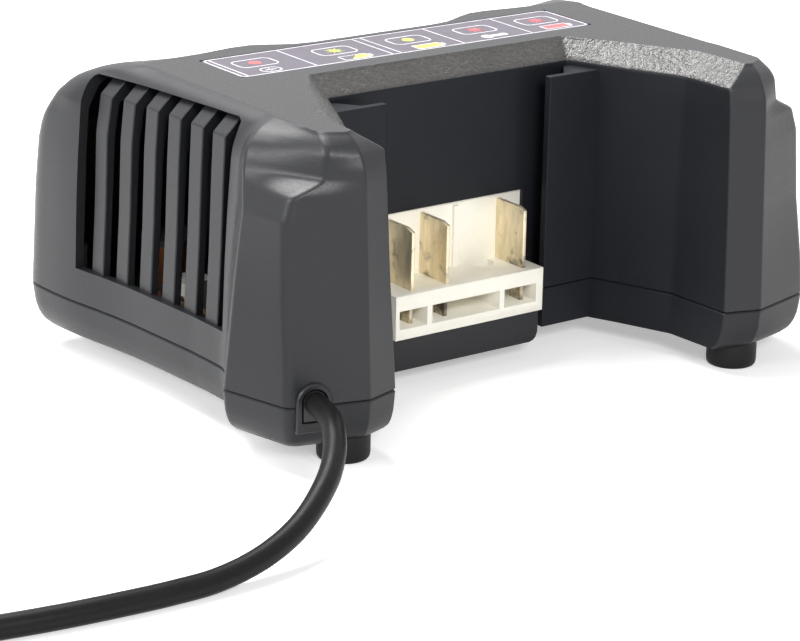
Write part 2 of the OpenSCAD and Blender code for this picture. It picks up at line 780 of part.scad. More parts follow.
primary_x = bulk_x + bulk_r + row_gap + package_thick;
core_start = primary_x + sink_thick + fin_reach + row_gap + winding_over;
core_x = [core_start, core_start + core_length];
secondary_x = core_x[1] + winding_over + row_gap + fin_reach;
output_x = secondary_x + sink_thick + package_thick + row_gap + output_r;
chip_x = output_x + output_r + row_gap;
filter_x = [blade_x[0] - 24, blade_x[0] - 6];
core_y = [board_front + 14, board_front + 46];
core_low = deck + 3;
core_high = deck + 27;
core_mid_x = (core_x[0] + core_x[1]) / 2;
core_mid_y = (core_y[0] + core_y[1]) / 2;
module transformer_core() {
    color("#3a3a3c") difference() {
        block(core_x[0], core_x[1], core_y[0], core_y[1], core_low, core_high);
        for (s = [-1, 1])
            block(
                core_x[0] - 1, core_x[1] + 1,
                core_mid_y + (s > 0 ? 5 : -11), core_mid_y + (s > 0 ? 11 : -5),
                core_low + 5, core_high - 5
            );
    }
}
module transformer_winding() {
    color("#c9a24a") difference() {
        union() {
            block(
                core_x[0] - winding_over, core_x[1] + winding_over, core_mid_y - 10.8, core_mid_y + 10.8,
                core_low + 5.2, core_high - 5.2
            );
            for (s = [-1, 1])
                block(
                    core_mid_x + s * 15.7 - 1.6, core_mid_x + s * 15.7 + 1.6,
                    core_mid_y - 10.8, core_mid_y + 10.8, deck, core_low + 6
                );
        }
        block(core_x[0] - 0.2, core_x[1] + 0.2, core_mid_y - 5.2, core_mid_y + 5.2, deck, core_high);
    }
}
module can(x, y, r, h) {
    translate([x, y, deck]) rotate_extrude() polygon([
        [0, 0],
        [r - 0.4, 0],
        [r, 0.6],
        [r, 2],
        [r - 0.5, 2.7],
        [r, 3.4],
        [r, h - 0.8],
        [r - 0.8, h],
        [0, h],
    ]);
}
module bulk_capacitor() {
    color("#2c3b63") can(bulk_x, board_front + 39, bulk_r, 35);
}
module output_capacitors() {
    color("#33353a") {
        can(output_x, board_front + 25, output_r, 25);
        can(output_x, board_front + 41, output_r, 25);
    }
}
module filter_capacitor() {
    color("#c8b23c") block(filter_x[0], filter_x[1], board_front + 5, board_front + 13, deck, deck + 15);
}
sink_front = board_front + 14;
sink_rear = board_front + 48;
sink_top = deck + 38;
sink_hole_z = deck + 22;
module heat_sink(x, fins) {
    difference() {
        union() {
            block(x, x + sink_thick, sink_front, sink_rear, deck, sink_top);
            for (i = [0:4])
                block(
                    fins > 0 ? x + 1 : x - fin_reach, fins > 0 ? x + sink_thick + fin_reach : x + 1,
                    sink_front + i * (sink_rear - sink_front - 1.4) / 4,
                    sink_front + i * (sink_rear - sink_front - 1.4) / 4 + 1.4, deck, sink_top
                );
        }
        translate([x - 1, (sink_front + sink_rear) / 2 + 4.2, sink_hole_z]) rotate([0, 90, 0])
            cylinder(r = 1.3 + fit, h = sink_thick + 2);
    }
}
module power_package(x, tab_x) {
    y = (sink_front + sink_rear) / 2 + 4.2;
    difference() {
        union() {
            block(x, x + package_thick, y - 5, y + 5, deck + 9, deck + 19);
            block(tab_x, tab_x + 1.5, y - 5, y + 5, deck + 18.9, deck + 25);
            for (k = [-2.5, 0, 2.5]) block(x + 2, x + 2.6, y + k - 0.5, y + k + 0.5, deck, deck + 9.1);
        }
        translate([x - 1, y, sink_hole_z]) rotate([0, 90, 0]) cylinder(r = 1.3 + fit, h = 8);
    }
}
module primary_heat_sink() {
    color("#a9abae") heat_sink(primary_x, 1);
}
module secondary_heat_sink() {
    color("#a9abae") heat_sink(secondary_x, -1);
}
module switching_transistor() {
    color("#26262a") power_package(primary_x - package_thick, primary_x - 1.5);
}
module output_rectifier() {
    color("#26262a") power_package(secondary_x + sink_thick, secondary_x + sink_thick);
}
module heat_sink_screws() {
    y = (sink_front + sink_rear) / 2 + 4.2;
    color("#8d8f94") {
        translate([primary_x - 1.5, y, sink_hole_z]) rotate([0, 90, 0]) {
            translate([0, 0, -1.6]) cylinder(r = 2.6, h = 1.6);
            translate([0, 0, -eps]) cylinder(r = 1.3, h = 1.5 + sink_thick);
        }
        translate([secondary_x + sink_thick + 1.5, y, sink_hole_z]) rotate([0, -90, 0]) {
            translate([0, 0, -1.6]) cylinder(r = 2.6, h = 1.6);
            translate([0, 0, -eps]) cylinder(r = 1.3, h = 1.5 + sink_thick);
        }
    }
}
module bridge_rectifier() {
    color("#26262a") block(
        filter_x[0] + 0.5, filter_x[1] + 0.5, board_front + 18, board_front + 22, deck, deck + 15
    );
}
choke_at = [choke_x, board_front + 40];
module choke_core() {
    color("#3a3a3c") translate([choke_at.x, choke_at.y, deck]) rotate_extrude() polygon([
        [0, 0],
        [choke_r, 0],
        [choke_r, 2],
        [4, 2],
        [4, 14],
        [choke_r, 14],
        [choke_r, 16],
        [0, 16],
    ]);
}
module choke_winding() {
    color("#a4562a") translate([choke_at.x, choke_at.y, deck + 2]) difference() {
        cylinder(r = 8, h = 12);
        translate([0, 0, -1]) cylinder(r = 4 + fit, h = 14);
    }
}
module fuse() {
    color("#c8c9cc") translate([(inlet.x + filter_x[0]) / 2, board_front + 6, deck]) {
        for (y = [0, 15]) {
            translate([0, y + 5, 3.6]) rotate([90, 0, 0]) cylinder(r = 2.8, h = 5);
            block(-1.5, 1.5, y + 1, y + 4, 0, 2);
        }
        translate([0, 17, 3.6]) rotate([90, 0, 0]) cylinder(r = 2.4, h = 14);
    }
}
module control_chip() {
    color("#26262a") block(chip_x, chip_x + chip_width, board_front + 22, board_front + 30, deck, deck + 1.6);
}
module indicator_board() {
    color("#4f6b3a") difference() {
        block(-58, 58, label_y - 10, label_y + 9, led_board_z, led_board_z + board_thick);
        for (p = led_post) translate([p.x, p.y, led_board_z - 1]) cylinder(r = 1.1 + fit, h = 4);
    }
}
module indicator_screws() {
    color("#8d8f94") for (p = led_post) translate([p.x, p.y, led_board_z]) {
        translate([0, 0, -1.4]) cylinder(r = 2.4, h = 1.4);
        translate([0, 0, -eps]) cylinder(r = 1.1, h = 5);
    }
}
module indicator_leds() {
    color("#c43a34") for (x = led_x) translate([x, led_y, led_board_z + board_thick]) {
        cylinder(r = 2, h = 1);
        cylinder(r = 1.5, h = body_top - label_thick - 0.2 - led_board_z - board_thick);
    }
}
module indicator_lead() {
    top = led_board_z;
    y = label_y - 4;
    color("#cfcac0") translate([46, 0, 0]) rotate([90, 0, 90]) linear_extrude(8) polygon([
        [y, deck],
        [y + 1.2, deck],
        [y + 1.2, deck + 10],
        [y - 2.8, deck + 26],
        [y - 2.8, top - 20],
        [y + 1.2, top - 8],
        [y + 1.2, top],
        [y, top],
        [y, top - 8],
        [y - 4, top - 20],
        [y - 4, deck + 26],
        [y, deck + 10],
    ]);
}

// Mains cord outside the housing.
module mains_cord() {
    color("#1c1c1e") difference() {
        tube(cord_path, cord_r, 10);
        translate([-300, -200, -10]) cube([400, 200, 10]);
    }
}
module cord_coil() {
    color("#1c1c1e") tube(coil_path, cord_r, 6);
}
module cord_tail() {
    color("#1c1c1e") tube(tail_path, cord_r, 8);
}
tie_width = 9;
module cord_tie() {
    in_x = coil_inner - cord_r - fit;
    out_x = coil_outer + cord_r + fit;
    high = coil_low + coil_layer + cord_r + fit;
    color("#3a3b40") translate([coil_center.x, coil_center.y, 0]) rotate([0, 0, coil_heading - 180])
        difference() {
            translate([-tie_width / 2, in_x - tie_thick, 0])
                cube([tie_width, out_x - in_x + 2 * tie_thick, high + tie_thick]);
            translate([-tie_width / 2 - 1, in_x, tie_thick])
                cube([tie_width + 2, out_x - in_x, high - tie_thick]);
        }
}
pin_radius = 2;
pin_reach = 19;
module plug_body() {
    color("#1c1c1e") at_plug() difference() {
        union() {
            translate([0, 0, -plug_thick / 2]) linear_extrude(plug_thick) polygon([
                [-plug_half + 1, plug_length],
                [-plug_half, plug_length - 1],
                [-plug_half, plug_length - 16],
                [-9, 2],
                [-7, 0],
                [7, 0],
                [9, 2],
                [plug_half, plug_length - 16],
                [plug_half, plug_length - 1],
                [plug_half - 1, plug_length],
            ]);
            translate([0, 0.5, 0]) rotate([90, 0, 0]) cylinder(r1 = 5.6, r2 = 4.4, h = plug_grip + 0.5);
        }
        for (s = [-1, 1]) translate([s * pin_spacing / 2, plug_length + 1, 0]) rotate([90, 0, 0])
            cylinder(r = pin_radius + 0.05, h = 9);
    }
}
module plug_pins() {
    color("#c9cbd0") at_plug() for (s = [-1, 1]) translate([s * pin_spacing / 2, plug_length - 8, 0])
        rotate([-90, 0, 0]) rotate_extrude() polygon([
            [0, 0],
            [pin_radius, 0],
            [pin_radius, pin_reach + 7],
            [pin_radius - 1, pin_reach + 8],
            [0, pin_reach + 8],
        ]);
}

function path_length(p) =
    len(p) < 2 ? 0 : norm(p[1] - p[0]) + path_length([for (i = [1:len(p) - 1]) p[i]]);
echo(coil_gap = coil_gap);
echo(
    free_cord = path_length(cord_path), coil = path_length(coil_path),
    tail = path_length(tail_path), plug_grip = plug_grip
);

upper_housing();
lower_housing();
indicator_label();
terminal_block();
blade_left();
blade_middle();
blade_right();
rubber_feet();
housing_screws();
block_screw();
cord_bushing();
inner_cable();
cord_clamp();
clamp_screws();
mains_leads();
inlet_connector();
output_connector();
main_board();
board_screws();
transformer_core();
transformer_winding();
bulk_capacitor();
output_capacitors();
filter_capacitor();
primary_heat_sink();
secondary_heat_sink();
switching_transistor();
output_rectifier();
heat_sink_screws();
bridge_rectifier();
choke_core();
choke_winding();
fuse();
control_chip();
indicator_board();
indicator_screws();
indicator_leds();
indicator_lead();
output_leads();
mains_cord();
cord_coil();
cord_tie();
cord_tail();
plug_body();
plug_pins();
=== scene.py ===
"""Looks of a slide-on battery charger: moulded housing, louvres, terminal block, label and mains cord."""

import math

import bmesh
import bpy
from mathutils import Matrix, Vector


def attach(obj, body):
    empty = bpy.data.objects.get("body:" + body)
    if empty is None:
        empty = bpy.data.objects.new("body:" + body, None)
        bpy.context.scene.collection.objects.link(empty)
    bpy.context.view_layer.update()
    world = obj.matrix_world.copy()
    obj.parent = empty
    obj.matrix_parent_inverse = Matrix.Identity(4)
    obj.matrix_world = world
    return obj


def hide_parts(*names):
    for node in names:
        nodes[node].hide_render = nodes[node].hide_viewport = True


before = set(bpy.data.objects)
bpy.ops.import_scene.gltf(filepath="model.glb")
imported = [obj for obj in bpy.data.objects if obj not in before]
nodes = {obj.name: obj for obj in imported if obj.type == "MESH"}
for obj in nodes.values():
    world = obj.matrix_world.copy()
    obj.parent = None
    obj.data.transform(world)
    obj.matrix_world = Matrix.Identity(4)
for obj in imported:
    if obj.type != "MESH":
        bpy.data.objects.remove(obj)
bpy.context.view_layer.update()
MM = 0.001

# Sizes, in millimetres
HALF_W = 98.8
FRONT_Y = -72.4
REAR_Y = 72.4
BAY_HALF = 58.3
BAY_BACK = -12.0
SEAM = 19.5
BOTTOM = 7.0
TOP = 91.5
WALL = 2.5
CORD_R = 3.1
ENTRY = Vector((-85.7, -68.2, 21.2))
ENTRY_TURN = math.radians(-15)
ENTRY_OUT = Vector((-math.sin(math.radians(15)), -math.cos(math.radians(15)), 0))
TOP_LEVEL = 72  # level of the roof's edge in the outline's tables; the seam is level 0
VENT_X = HALF_W - 20
VENT_FRONT = -29
VANE_COUNT = 6
VANE_PITCH = 11.05
VANE_WIDE = 6.3
BLOCK_CUT = (-33.1, 27.6, -13, -8.5)  # x and y of the passage for the terminal block
PLUG_PLACE = (-275, 22, 6.8)
PLUG_TURN = math.radians(-4)
RELIEF = 12.0  # length of the plug's strain relief
FLOOR_HALF = 9000


# Camera, at the photograph's viewing angle, in metres
CAMERA_PLACE = (-0.5096, -0.6828, 0.2970)
LENS = 135
SENSOR = 36


def make_camera():
    yaw, pitch, roll = 0.6338, 0.3265, 0.0205
    forward = Vector((math.sin(yaw) * math.cos(pitch), math.cos(yaw) * math.cos(pitch), -math.sin(pitch)))
    right = Vector((math.cos(yaw), -math.sin(yaw), 0))
    up = right.cross(forward)
    r = math.cos(roll) * right + math.sin(roll) * up
    u = -math.sin(roll) * right + math.cos(roll) * up
    data = bpy.data.cameras.new("camera")
    data.lens = LENS
    data.sensor_width = SENSOR
    data.clip_start = 0.05
    data.clip_end = 50
    camera = bpy.data.objects.new("camera", data)
    bpy.context.scene.collection.objects.link(camera)
    camera.matrix_world = Matrix(
        (
            (r.x, u.x, -forward.x, CAMERA_PLACE[0]),
            (r.y, u.y, -forward.y, CAMERA_PLACE[1]),
            (r.z, u.z, -forward.z, CAMERA_PLACE[2]),
            (0, 0, 0, 1),
        )
    )
    bpy.context.scene.camera = camera


make_camera()


# Materials
def math_node(tree, operation, a, b):
    """The output of a math node; a and b are numbers or sockets."""
    node = tree.nodes.new("ShaderNodeMath")
    node.operation = operation
    for socket, value in zip(node.inputs, (a, b)):
        if isinstance(value, (int, float)):
            socket.default_value = value
        else:
            tree.links.new(value, socket)
    return node.outputs[0]


class Nodes:
    """Shorthand for one material's node tree."""

    def __init__(self, name):
        self.material = bpy.data.materials.new(name)
        self.material.use_nodes = True
        self.tree = self.material.node_tree
        self.shader = self.tree.nodes["Principled BSDF"]
        self.coords = self.tree.nodes.new("ShaderNodeTexCoord").outputs["Object"]

    def add(self, kind, **values):
        node = self.tree.nodes.new(kind)
        for key, value in values.items():
            setattr(node, key, value)
        return node

    def link(self, out, into):
        self.tree.links.new(out, into)

    def noise(self, scale, detail=3.0, roughness=0.55, stretch=None):
        node = self.add("ShaderNodeTexNoise")
        node.inputs["Scale"].default_value = scale
        node.inputs["Detail"].default_value = detail
        node.inputs["Roughness"].default_value = roughness
        source = self.coords
        if stretch:
            mapping = self.add("ShaderNodeMapping")
            mapping.inputs["Scale"].default_value = stretch
            self.link(self.coords, mapping.inputs["Vector"])
            source = mapping.outputs["Vector"]
        self.link(source, node.inputs["Vector"])
        return node.outputs["Fac"]

    def ramp(self, source, stops):
        node = self.add("ShaderNodeValToRGB")
        ramp = node.color_ramp
        while len(ramp.elements) < len(stops):
            ramp.elements.new(0.5)
        for element, (place, color) in zip(ramp.elements, stops):
            element.position = place
            element.color = (*color, 1) if len(color) == 3 else color
        self.link(source, node.inputs["Fac"])
        return node.outputs["Color"]

    def math(self, operation, a, b):
        return math_node(self.tree, operation, a, b)

    def bump(self, height, strength, distance, after=None):
        node = self.add("ShaderNodeBump")
        node.inputs["Strength"].default_value = strength
        node.inputs["Distance"].default_value = distance
        self.link(height, node.inputs["Height"])
        if after is not None:
            self.link(after, node.inputs["Normal"])
        return node.outputs["Normal"]


def shade(color, k):
    return tuple(min(1.0, c * k) for c in color)


def moulded(name, color, rough, grain=1500, depth=0.00005, strength=0.5, vary=0.12, specular=0.5):
    """Moulded plastic: fine spark-eroded grain over a faint unevenness."""
    n = Nodes(name)
    broad = n.noise(38, 2)
    fine = n.noise(grain, 2, 0.6)
    mixed = n.math("ADD", n.math("MULTIPLY", broad, 0.55), n.math("MULTIPLY", fine, 0.45))
    stops = [(0.32, shade(color, 1 - vary)), (0.5, color), (0.68, shade(color, 1 + vary))]
    n.link(n.ramp(mixed, stops), n.shader.inputs["Base Color"])
    n.link(n.math("ADD", n.math("MULTIPLY", fine, 0.22), rough - 0.11), n.shader.inputs["Roughness"])
    n.shader.inputs["Specular IOR Level"].default_value = specular
    first = n.bump(n.noise(grain, 3, 0.65), strength, depth)
    n.link(n.bump(n.noise(120, 2), 0.12, 0.0002, first), n.shader.inputs["Normal"])
    return n.material


def metal(name, color, rough, stretch=(1, 1, 1), scratch=900, depth=0.00002, vary=0.15):
    n = Nodes(name)
    marks = n.noise(scratch, 4, 0.6, stretch)
    stops = [(0.3, shade(color, 1 - vary)), (0.55, color), (0.8, shade(color, 1 + vary))]
    n.link(n.ramp(marks, stops), n.shader.inputs["Base Color"])
    n.link(n.math("ADD", n.math("MULTIPLY", marks, 0.25), rough - 0.12), n.shader.inputs["Roughness"])
    n.shader.inputs["Metallic"].default_value = 1.0
    n.link(n.bump(marks, 0.3, depth), n.shader.inputs["Normal"])
    return n.material


HOUSING = moulded("charcoal_grain", (0.011, 0.0115, 0.0135), 0.38, 1300, 0.00007, 0.55, 0.12, 0.34)
# A slightly darker, less glossy copy of the housing plastic, for painted shade on the lower housing and the
# platform
HOUSING_LOW_SHADED = moulded("charcoal_low_painted_shade", (0.0105, 0.011, 0.013), 0.4, 1300, 0.00007, 0.55, 0.12, 0.29)
LIP = moulded("charcoal_lip", (0.028, 0.0265, 0.0245), 0.27, 620, 0.0006, 1.0, 0.5, 0.6)
# A less glossy copy of the housing plastic, for painted shade in the recessed bay and on its rails
SHADED_BAY_PLASTIC = moulded("charcoal_bay_painted_shade", (0.0105, 0.0115, 0.0145), 0.46, 1500, 0.00004, 0.4, 0.12, 0.15)
RUBBER = moulded("black_rubber", (0.007, 0.007, 0.0075), 0.55, 900, 0.00006, 0.4, 0.12, 0.2)
BUSHING = moulded("bushing_rubber", (0.012, 0.012, 0.013), 0.5, 1100, 0.00004, 0.35)
IVORY = moulded("ivory_nylon", (0.94, 0.91, 0.81), 0.42, 700, 0.00003, 0.25, 0.03)
PLUG = moulded("plug_black", (0.016, 0.016, 0.017), 0.42, 1200, 0.00003, 0.3)
TIE = moulded("tie_band", (0.045, 0.045, 0.05), 0.6, 800, 0.00005, 0.4)


def cord_material():
    n = Nodes("cord_sheath")
    fine = n.noise(700, 3)
    color = (0.004, 0.004, 0.0045)
    n.link(n.ramp(fine, [(0.3, shade(color, 0.8)), (0.7, shade(color, 1.3))]), n.shader.inputs["Base Color"])
    n.link(n.math("ADD", n.math("MULTIPLY", n.noise(160, 2), 0.2), 0.28), n.shader.inputs["Roughness"])
    n.shader.inputs["Specular IOR Level"].default_value = 0.14
    n.link(n.bump(fine, 0.25, 0.00003), n.shader.inputs["Normal"])
    return n.material


CORD = cord_material()


# Mains cord: free stretch, coil and the short end to the plug
def cord_points():
    low = CORD_R
    straight = 2 * CORD_R
    start = ENTRY + ENTRY_OUT * 1.2
    heading = math.radians(169.6)
    center = Vector((-242, -60.5, 0))
    pitch, layer, turns, climb, mean = 6.9, 6.9, 3.375, 0.5, 34.0
    coil_low = CORD_R + 1.3
    outer = mean + turns * pitch / 2
    inner = mean - turns * pitch / 2
    into = Vector((math.cos(heading), math.sin(heading), 0))
    side = Vector((math.cos(heading + math.pi / 2), math.sin(heading + math.pi / 2), 0))
    end_in = center + Vector((0, 0, coil_low)) + outer * side - into * straight
    free = [
        start,
        start + ENTRY_OUT * straight,
        Vector((-92, -86, SEAM + 2.2)),
        Vector((-98.5, -96.3, SEAM - 1.3)),
        Vector((-107, -104.7, SEAM - 5.2)),
        Vector((-120.5, -113, SEAM - 10.4)),
        Vector((-134, -117.3, SEAM - 14)),
        Vector((-148, -119, low + 0.35)),
        Vector((-161, -118.9, low)),
        Vector((-174, -118, low)),
        Vector((-190, -116.2, low)),
        Vector((-205, -113.6, low)),
        Vector((-222, -110.5, low + 0.3)),
        end_in - into * straight,
        end_in,
    ]
    total = 2 * turns + climb
    steps = 24
    coil = []
    for i in range(round(steps * total) + 1):
        t = i / steps
        if t < turns:
            r = outer - pitch * t
        elif t < turns + climb:
            r = inner - pitch * climb / 4 * math.sin(math.pi * (t - turns) / climb)
        else:
            r = inner + pitch * (t - turns - climb)
        z = coil_low + layer * max(0.0, min(1.0, (t - turns) / climb))
        a = heading + math.pi / 2 - 2 * math.pi * t
        coil.append(Vector((center.x + r * math.cos(a), center.y + r * math.sin(a), z)))
    a = heading + math.pi / 2 - 2 * math.pi * total
    out = Vector((math.sin(a), -math.cos(a), 0))
    plug_dir = Vector((-math.sin(PLUG_TURN), math.cos(PLUG_TURN), 0))
    tail_start = coil[-1] + out * straight
    tail_end = Vector(PLUG_PLACE) - plug_dir * RELIEF
    tail = [
        tail_start,
        tail_start + out * straight,
        (tail_start + tail_end) / 2 + Vector((-0.3, 0, -2.2)),
        tail_end - plug_dir * straight,
        tail_end,
    ]
    return free + coil + tail


def make_cord():
    points = [p * MM for p in cord_points()]
    data = bpy.data.curves.new("mains_cord_line", "CURVE")
    data.dimensions = "3D"
    data.bevel_depth = CORD_R * MM
    data.bevel_resolution = 6
    data.resolution_u = 8
    data.use_fill_caps = True
    data.twist_mode = "Z_UP"
    spline = data.splines.new("BEZIER")
    spline.bezier_points.add(len(points) - 1)
    for i, p in enumerate(points):
        before = points[max(0, i - 1)]
        after = points[min(len(points) - 1, i + 1)]
        b = spline.bezier_points[i]
        b.handle_left_type = b.handle_right_type = "FREE"
        direction = (after - before).normalized()
        b.co = p
        b.handle_left = p - direction * (p - before).length / 3
        b.handle_right = p + direction * (after - p).length / 3
    data.materials.append(CORD)
    cord = bpy.data.objects.new("cord_line", data)
    bpy.context.scene.collection.objects.link(cord)
    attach(cord, "root")
    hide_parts("mains_cord", "cord_coil", "cord_tail")
    return cord, points


cord, cord_line = make_cord()


# Mesh helpers
def new_object(name, mesh, *materials):
    obj = bpy.data.objects.new(name, mesh)
    bpy.context.scene.collection.objects.link(obj)
    for m in materials:
        mesh.materials.append(m)
    return obj


def smooth(mesh, degrees=32):
    bm = bmesh.new()
    bm.from_mesh(mesh)
    limit = math.radians(degrees)
    for e in bm.edges:
        e.smooth = len(e.link_faces) == 2 and e.calc_face_angle(0) < limit
    for f in bm.faces:
        f.smooth = True
    bm.to_mesh(mesh)
    bm.free()


def weigh(obj):
    modifier = obj.modifiers.new("weighted", "WEIGHTED_NORMAL")
    modifier.keep_sharp = True
    modifier.weight = 60


def mesh_from(name, verts, faces, indices=None):
    mesh = bpy.data.meshes.new(name)
    mesh.from_pydata([Vector(v) * MM for v in verts], [], faces)
    if indices:
        for f, i in zip(mesh.polygons, indices):
            f.material_index = i
    mesh.update()
    return mesh


def prism(outline, low, high, place):
    """A closed solid with this outline between two levels; place puts (u, v, w) in the frame."""
    n = len(outline)
    verts = [place(u, v, low) for u, v in outline] + [place(u, v, high) for u, v in outline]
    faces = [tuple(range(n))[::-1], tuple(range(n, 2 * n))]
    faces += [(i, (i + 1) % n, n + (i + 1) % n, n + i) for i in range(n)]
    return verts, faces


def face_outward(mesh):
    bm = bmesh.new()
    bm.from_mesh(mesh)
    bmesh.ops.recalc_face_normals(bm, faces=bm.faces)
    bm.to_mesh(mesh)
    bm.free()


def solid(name, parts, bevel=0.0, segments=2, angle=30, *materials):
    verts, faces = [], []
    for v, f in parts:
        base = len(verts)
        verts += v
        faces += [tuple(base + i for i in face) for face in f]
    mesh = mesh_from(name, verts, faces)
    face_outward(mesh)
    obj = new_object(name, mesh, *materials)
    if bevel:
        modifier = obj.modifiers.new("bevel", "BEVEL")
        modifier.width = bevel * MM
        modifier.segments = segments
        modifier.limit_method = "ANGLE"
        modifier.angle_limit = math.radians(angle)
        modifier.harden_normals = True
    smooth(mesh)
    return obj


def flat(u, v, w):
    return (u, v, w)


def box(x0, x1, y0, y1, z0, z1):
    return prism([(x0, y0), (x1, y0), (x1, y1), (x0, y1)], z0, z1, flat)


def mirrored(parts):
    out = list(parts)
    for verts, faces in parts:
        out.append(([(-v[0], v[1], v[2]) for v in verts], [f[::-1] for f in faces]))
    return out


def at_entry(x, y, z):
    c, s = math.cos(ENTRY_TURN), math.sin(ENTRY_TURN)
    return (ENTRY.x + c * x - s * y, ENTRY.y + s * x + c * y, ENTRY.z + z)


def arch_outline(r, drop, n=24):
    points = [(r * math.cos(math.pi * i / n), r * math.sin(math.pi * i / n)) for i in range(n + 1)]
    return points + [(-r, -drop), (r, -drop)]


def arch(r, drop, y0, y1):
    return prism(arch_outline(r, drop), y0, y1, lambda u, v, w: at_entry(u, w, v))


def lathe(profile, n, place):
    """A turned solid from (radius, height) pairs; place puts (u, v, height) in the frame."""
    verts, faces = [], []
    for r, height in profile:
        for i in range(n):
            a = 2 * math.pi * i / n
            verts.append(place(r * math.cos(a), r * math.sin(a), height))
    for j in range(len(profile) - 1):
        for i in range(n):
            k = (i + 1) % n
            faces.append((j * n + i, j * n + k, (j + 1) * n + k, (j + 1) * n + i))
    faces.append(tuple(range(n))[::-1])
    faces.append(tuple(range((len(profile) - 1) * n, len(profile) * n)))
    return verts, faces


def round_solid(x, y, profile, n=40):
    """A turned solid on the Z axis at x, y from (radius, z) pairs, lowest first."""
    return lathe(profile, n, lambda u, v, w: (x + u, y + v, w))


def cut(obj, *cutters):
    """Takes each cutter out of obj and keeps the result as its mesh."""
    made = []
    for i, parts in enumerate(cutters):
        tool = solid(f"cutter_{obj.name}_{i}", parts)
        modifier = obj.modifiers.new(f"cut_{i}", "BOOLEAN")
        modifier.operation = "DIFFERENCE"
        modifier.solver = "EXACT"
        modifier.object = tool
        made.append(tool)
    bpy.context.view_layer.update()
    graph = bpy.context.evaluated_depsgraph_get()
    mesh = bpy.data.meshes.new_from_object(obj.evaluated_get(graph))
    obj.modifiers.clear()
    obj.data = mesh
    for tool in made:
        bpy.data.objects.remove(tool)


# The housing's outline at a level: 0 at the seam, 72 at the top
def at(k, pairs):
    if k <= pairs[0][0]:
        return pairs[0][1]
    for (k0, v0), (k1, v1) in zip(pairs, pairs[1:]):
        if k <= k1:
            return v0 + (v1 - v0) * (k - k0) / (k1 - k0)
    return pairs[-1][1]


def raw_half(k):
    rear_corner = [(0, 0), (31, 1.8), (45, 3.8), (50, 5), (56, 8.6), (60, 11.8), (64, 15.8), (66, 18.8),
                   (69, 26), (71, 32.5), (72, 42.6)]

    def rear_slope(crest):
        shares = [(58, 0.35), (63, 0.57), (67, 0.78), (70, 0.92), (71.3, 0.975), (72, 1)]
        foot = [(0, 0), (31, 0.8), (45, 2.5), (52, 6)]
        return at(k, foot + [(level, crest * share) for level, share in shares])

    corner_in = at(k, [(0, 0.5), (31, 1.5), (45, 2), (53, 3.2), (60, 6), (65, 9), (69, 13.6), (71, 17.5),
                       (72, 20)])
    side = at(k, [(0, 0), (31, 1), (45, 1.8), (60, 3), (63, 3.6), (67, 5.2), (70, 7.6), (71, 9.4),
                  (72, 11.8)])
    flare = at(k, [(0, 9.3), (50, 6), (56, 4.6), (65, 4.2), (69, 2.5), (72, 0.4)])
    bay = 0 if k <= 66.5 else (k - 66.5) / 5.5
    edge_x = [(0, 6), (10, 6.4), (29, 7.2), (50, 7.8), (56.4, 9.8), (60.3, 18.9), (67, 19.6), (72, 20.9)]
    edge_y = [(0, 6), (10, 6.6), (29, 9.4), (56, 11), (60.3, 8.8), (67, 8.9), (69, 9.8), (71, 12.8),
              (72, 15)]
    wall_y = [(0, 3.4), (33, 5.6), (60, 7.3), (66.5, 8.2), (72, 12)]
    return [
        (28, REAR_Y - rear_slope(46)),
        (40, REAR_Y - 0.2 - rear_slope(38.4)),
        (57, REAR_Y - 0.6 - rear_slope(40.4)),
        (HALF_W - 2.3 - corner_in, REAR_Y - 1.4 - at(k, rear_corner)),
        (
            HALF_W - 3 - side - at(k, [(60, 0), (65, 1.5), (68.3, 3.6), (72, 5)]),
            REAR_Y - 23.1 - at(k, [(60, 0), (69, 8), (72, 22)]),
        ),
        (HALF_W - 7.3 - side - at(k, [(60, 0), (72, 1.9)]), REAR_Y - 50.4),
        (HALF_W - 9.3 - side, FRONT_Y + 59),
        (HALF_W - 9.3 - side, FRONT_Y + at(k, [(0, 41), (56, 39), (72, 38)])),
        (HALF_W - 9.3 - side + flare, FRONT_Y + at(k, [(0, 28.4), (50, 27.4), (56, 30.4), (72, 34)])),
        (HALF_W - at(k, edge_x), FRONT_Y + at(k, edge_y)),
        (
            HALF_W - at(k, [(0, 28.6), (60, 28.3), (67, 28.1), (71, 27.8), (72, 27.4)]),
            FRONT_Y + at(k, [(0, 0), (60, 3.2), (63, 3.6), (67, 5.4), (70, 7.8), (72, 11.4)]),
        ),
        (BAY_HALF + at(k, [(0, 1), (33, 2), (66.5, 2.5), (72, 11.3)]), FRONT_Y + at(k, wall_y)),
        (BAY_HALF + at(k, [(0, 0), (60, 1), (66.5, 1.6), (72, 10)]), BAY_BACK - 34.4 + 4.6 * bay),
        (BAY_HALF - 6.9 + 5 * bay, BAY_BACK - 17.5 + 8.2 * bay),
        (BAY_HALF - 15 + 2.2 * bay, BAY_BACK + 6.8 * bay),
    ]


# Corner radius and points of each corner; the first outer ones bend only slightly.
CORNERS = [(60, 3), (60, 3), (60, 3), (13, 12), (200, 5), (200, 5), (90, 5), (14, 4), (2.4, 6), (4, 8),
           (1.4, 5), (1.0, 5), (7, 6), (8, 4), (1.8, 6)]
# Points filled in on the straight that leads to each corner
STRAIGHTS = [0, 1, 2, 3, 4, 3, 1, 2, 1, 3, 2, 1, 4, 2, 2]
REAR_CORNER = 3
BAY_CORNER = 11


def soft_half(k, width=0.7):
    """The half outline averaged over a few levels, which rounds the edges that run round the housing."""
    shifts = [-width, -width / 2, 0, width / 2, width]
    rows = [raw_half(min(TOP_LEVEL, max(0, k + s))) for s in shifts]
    return [tuple(sum(r[i][a] for r in rows) / len(rows) for a in (0, 1)) for i in range(len(CORNERS))]


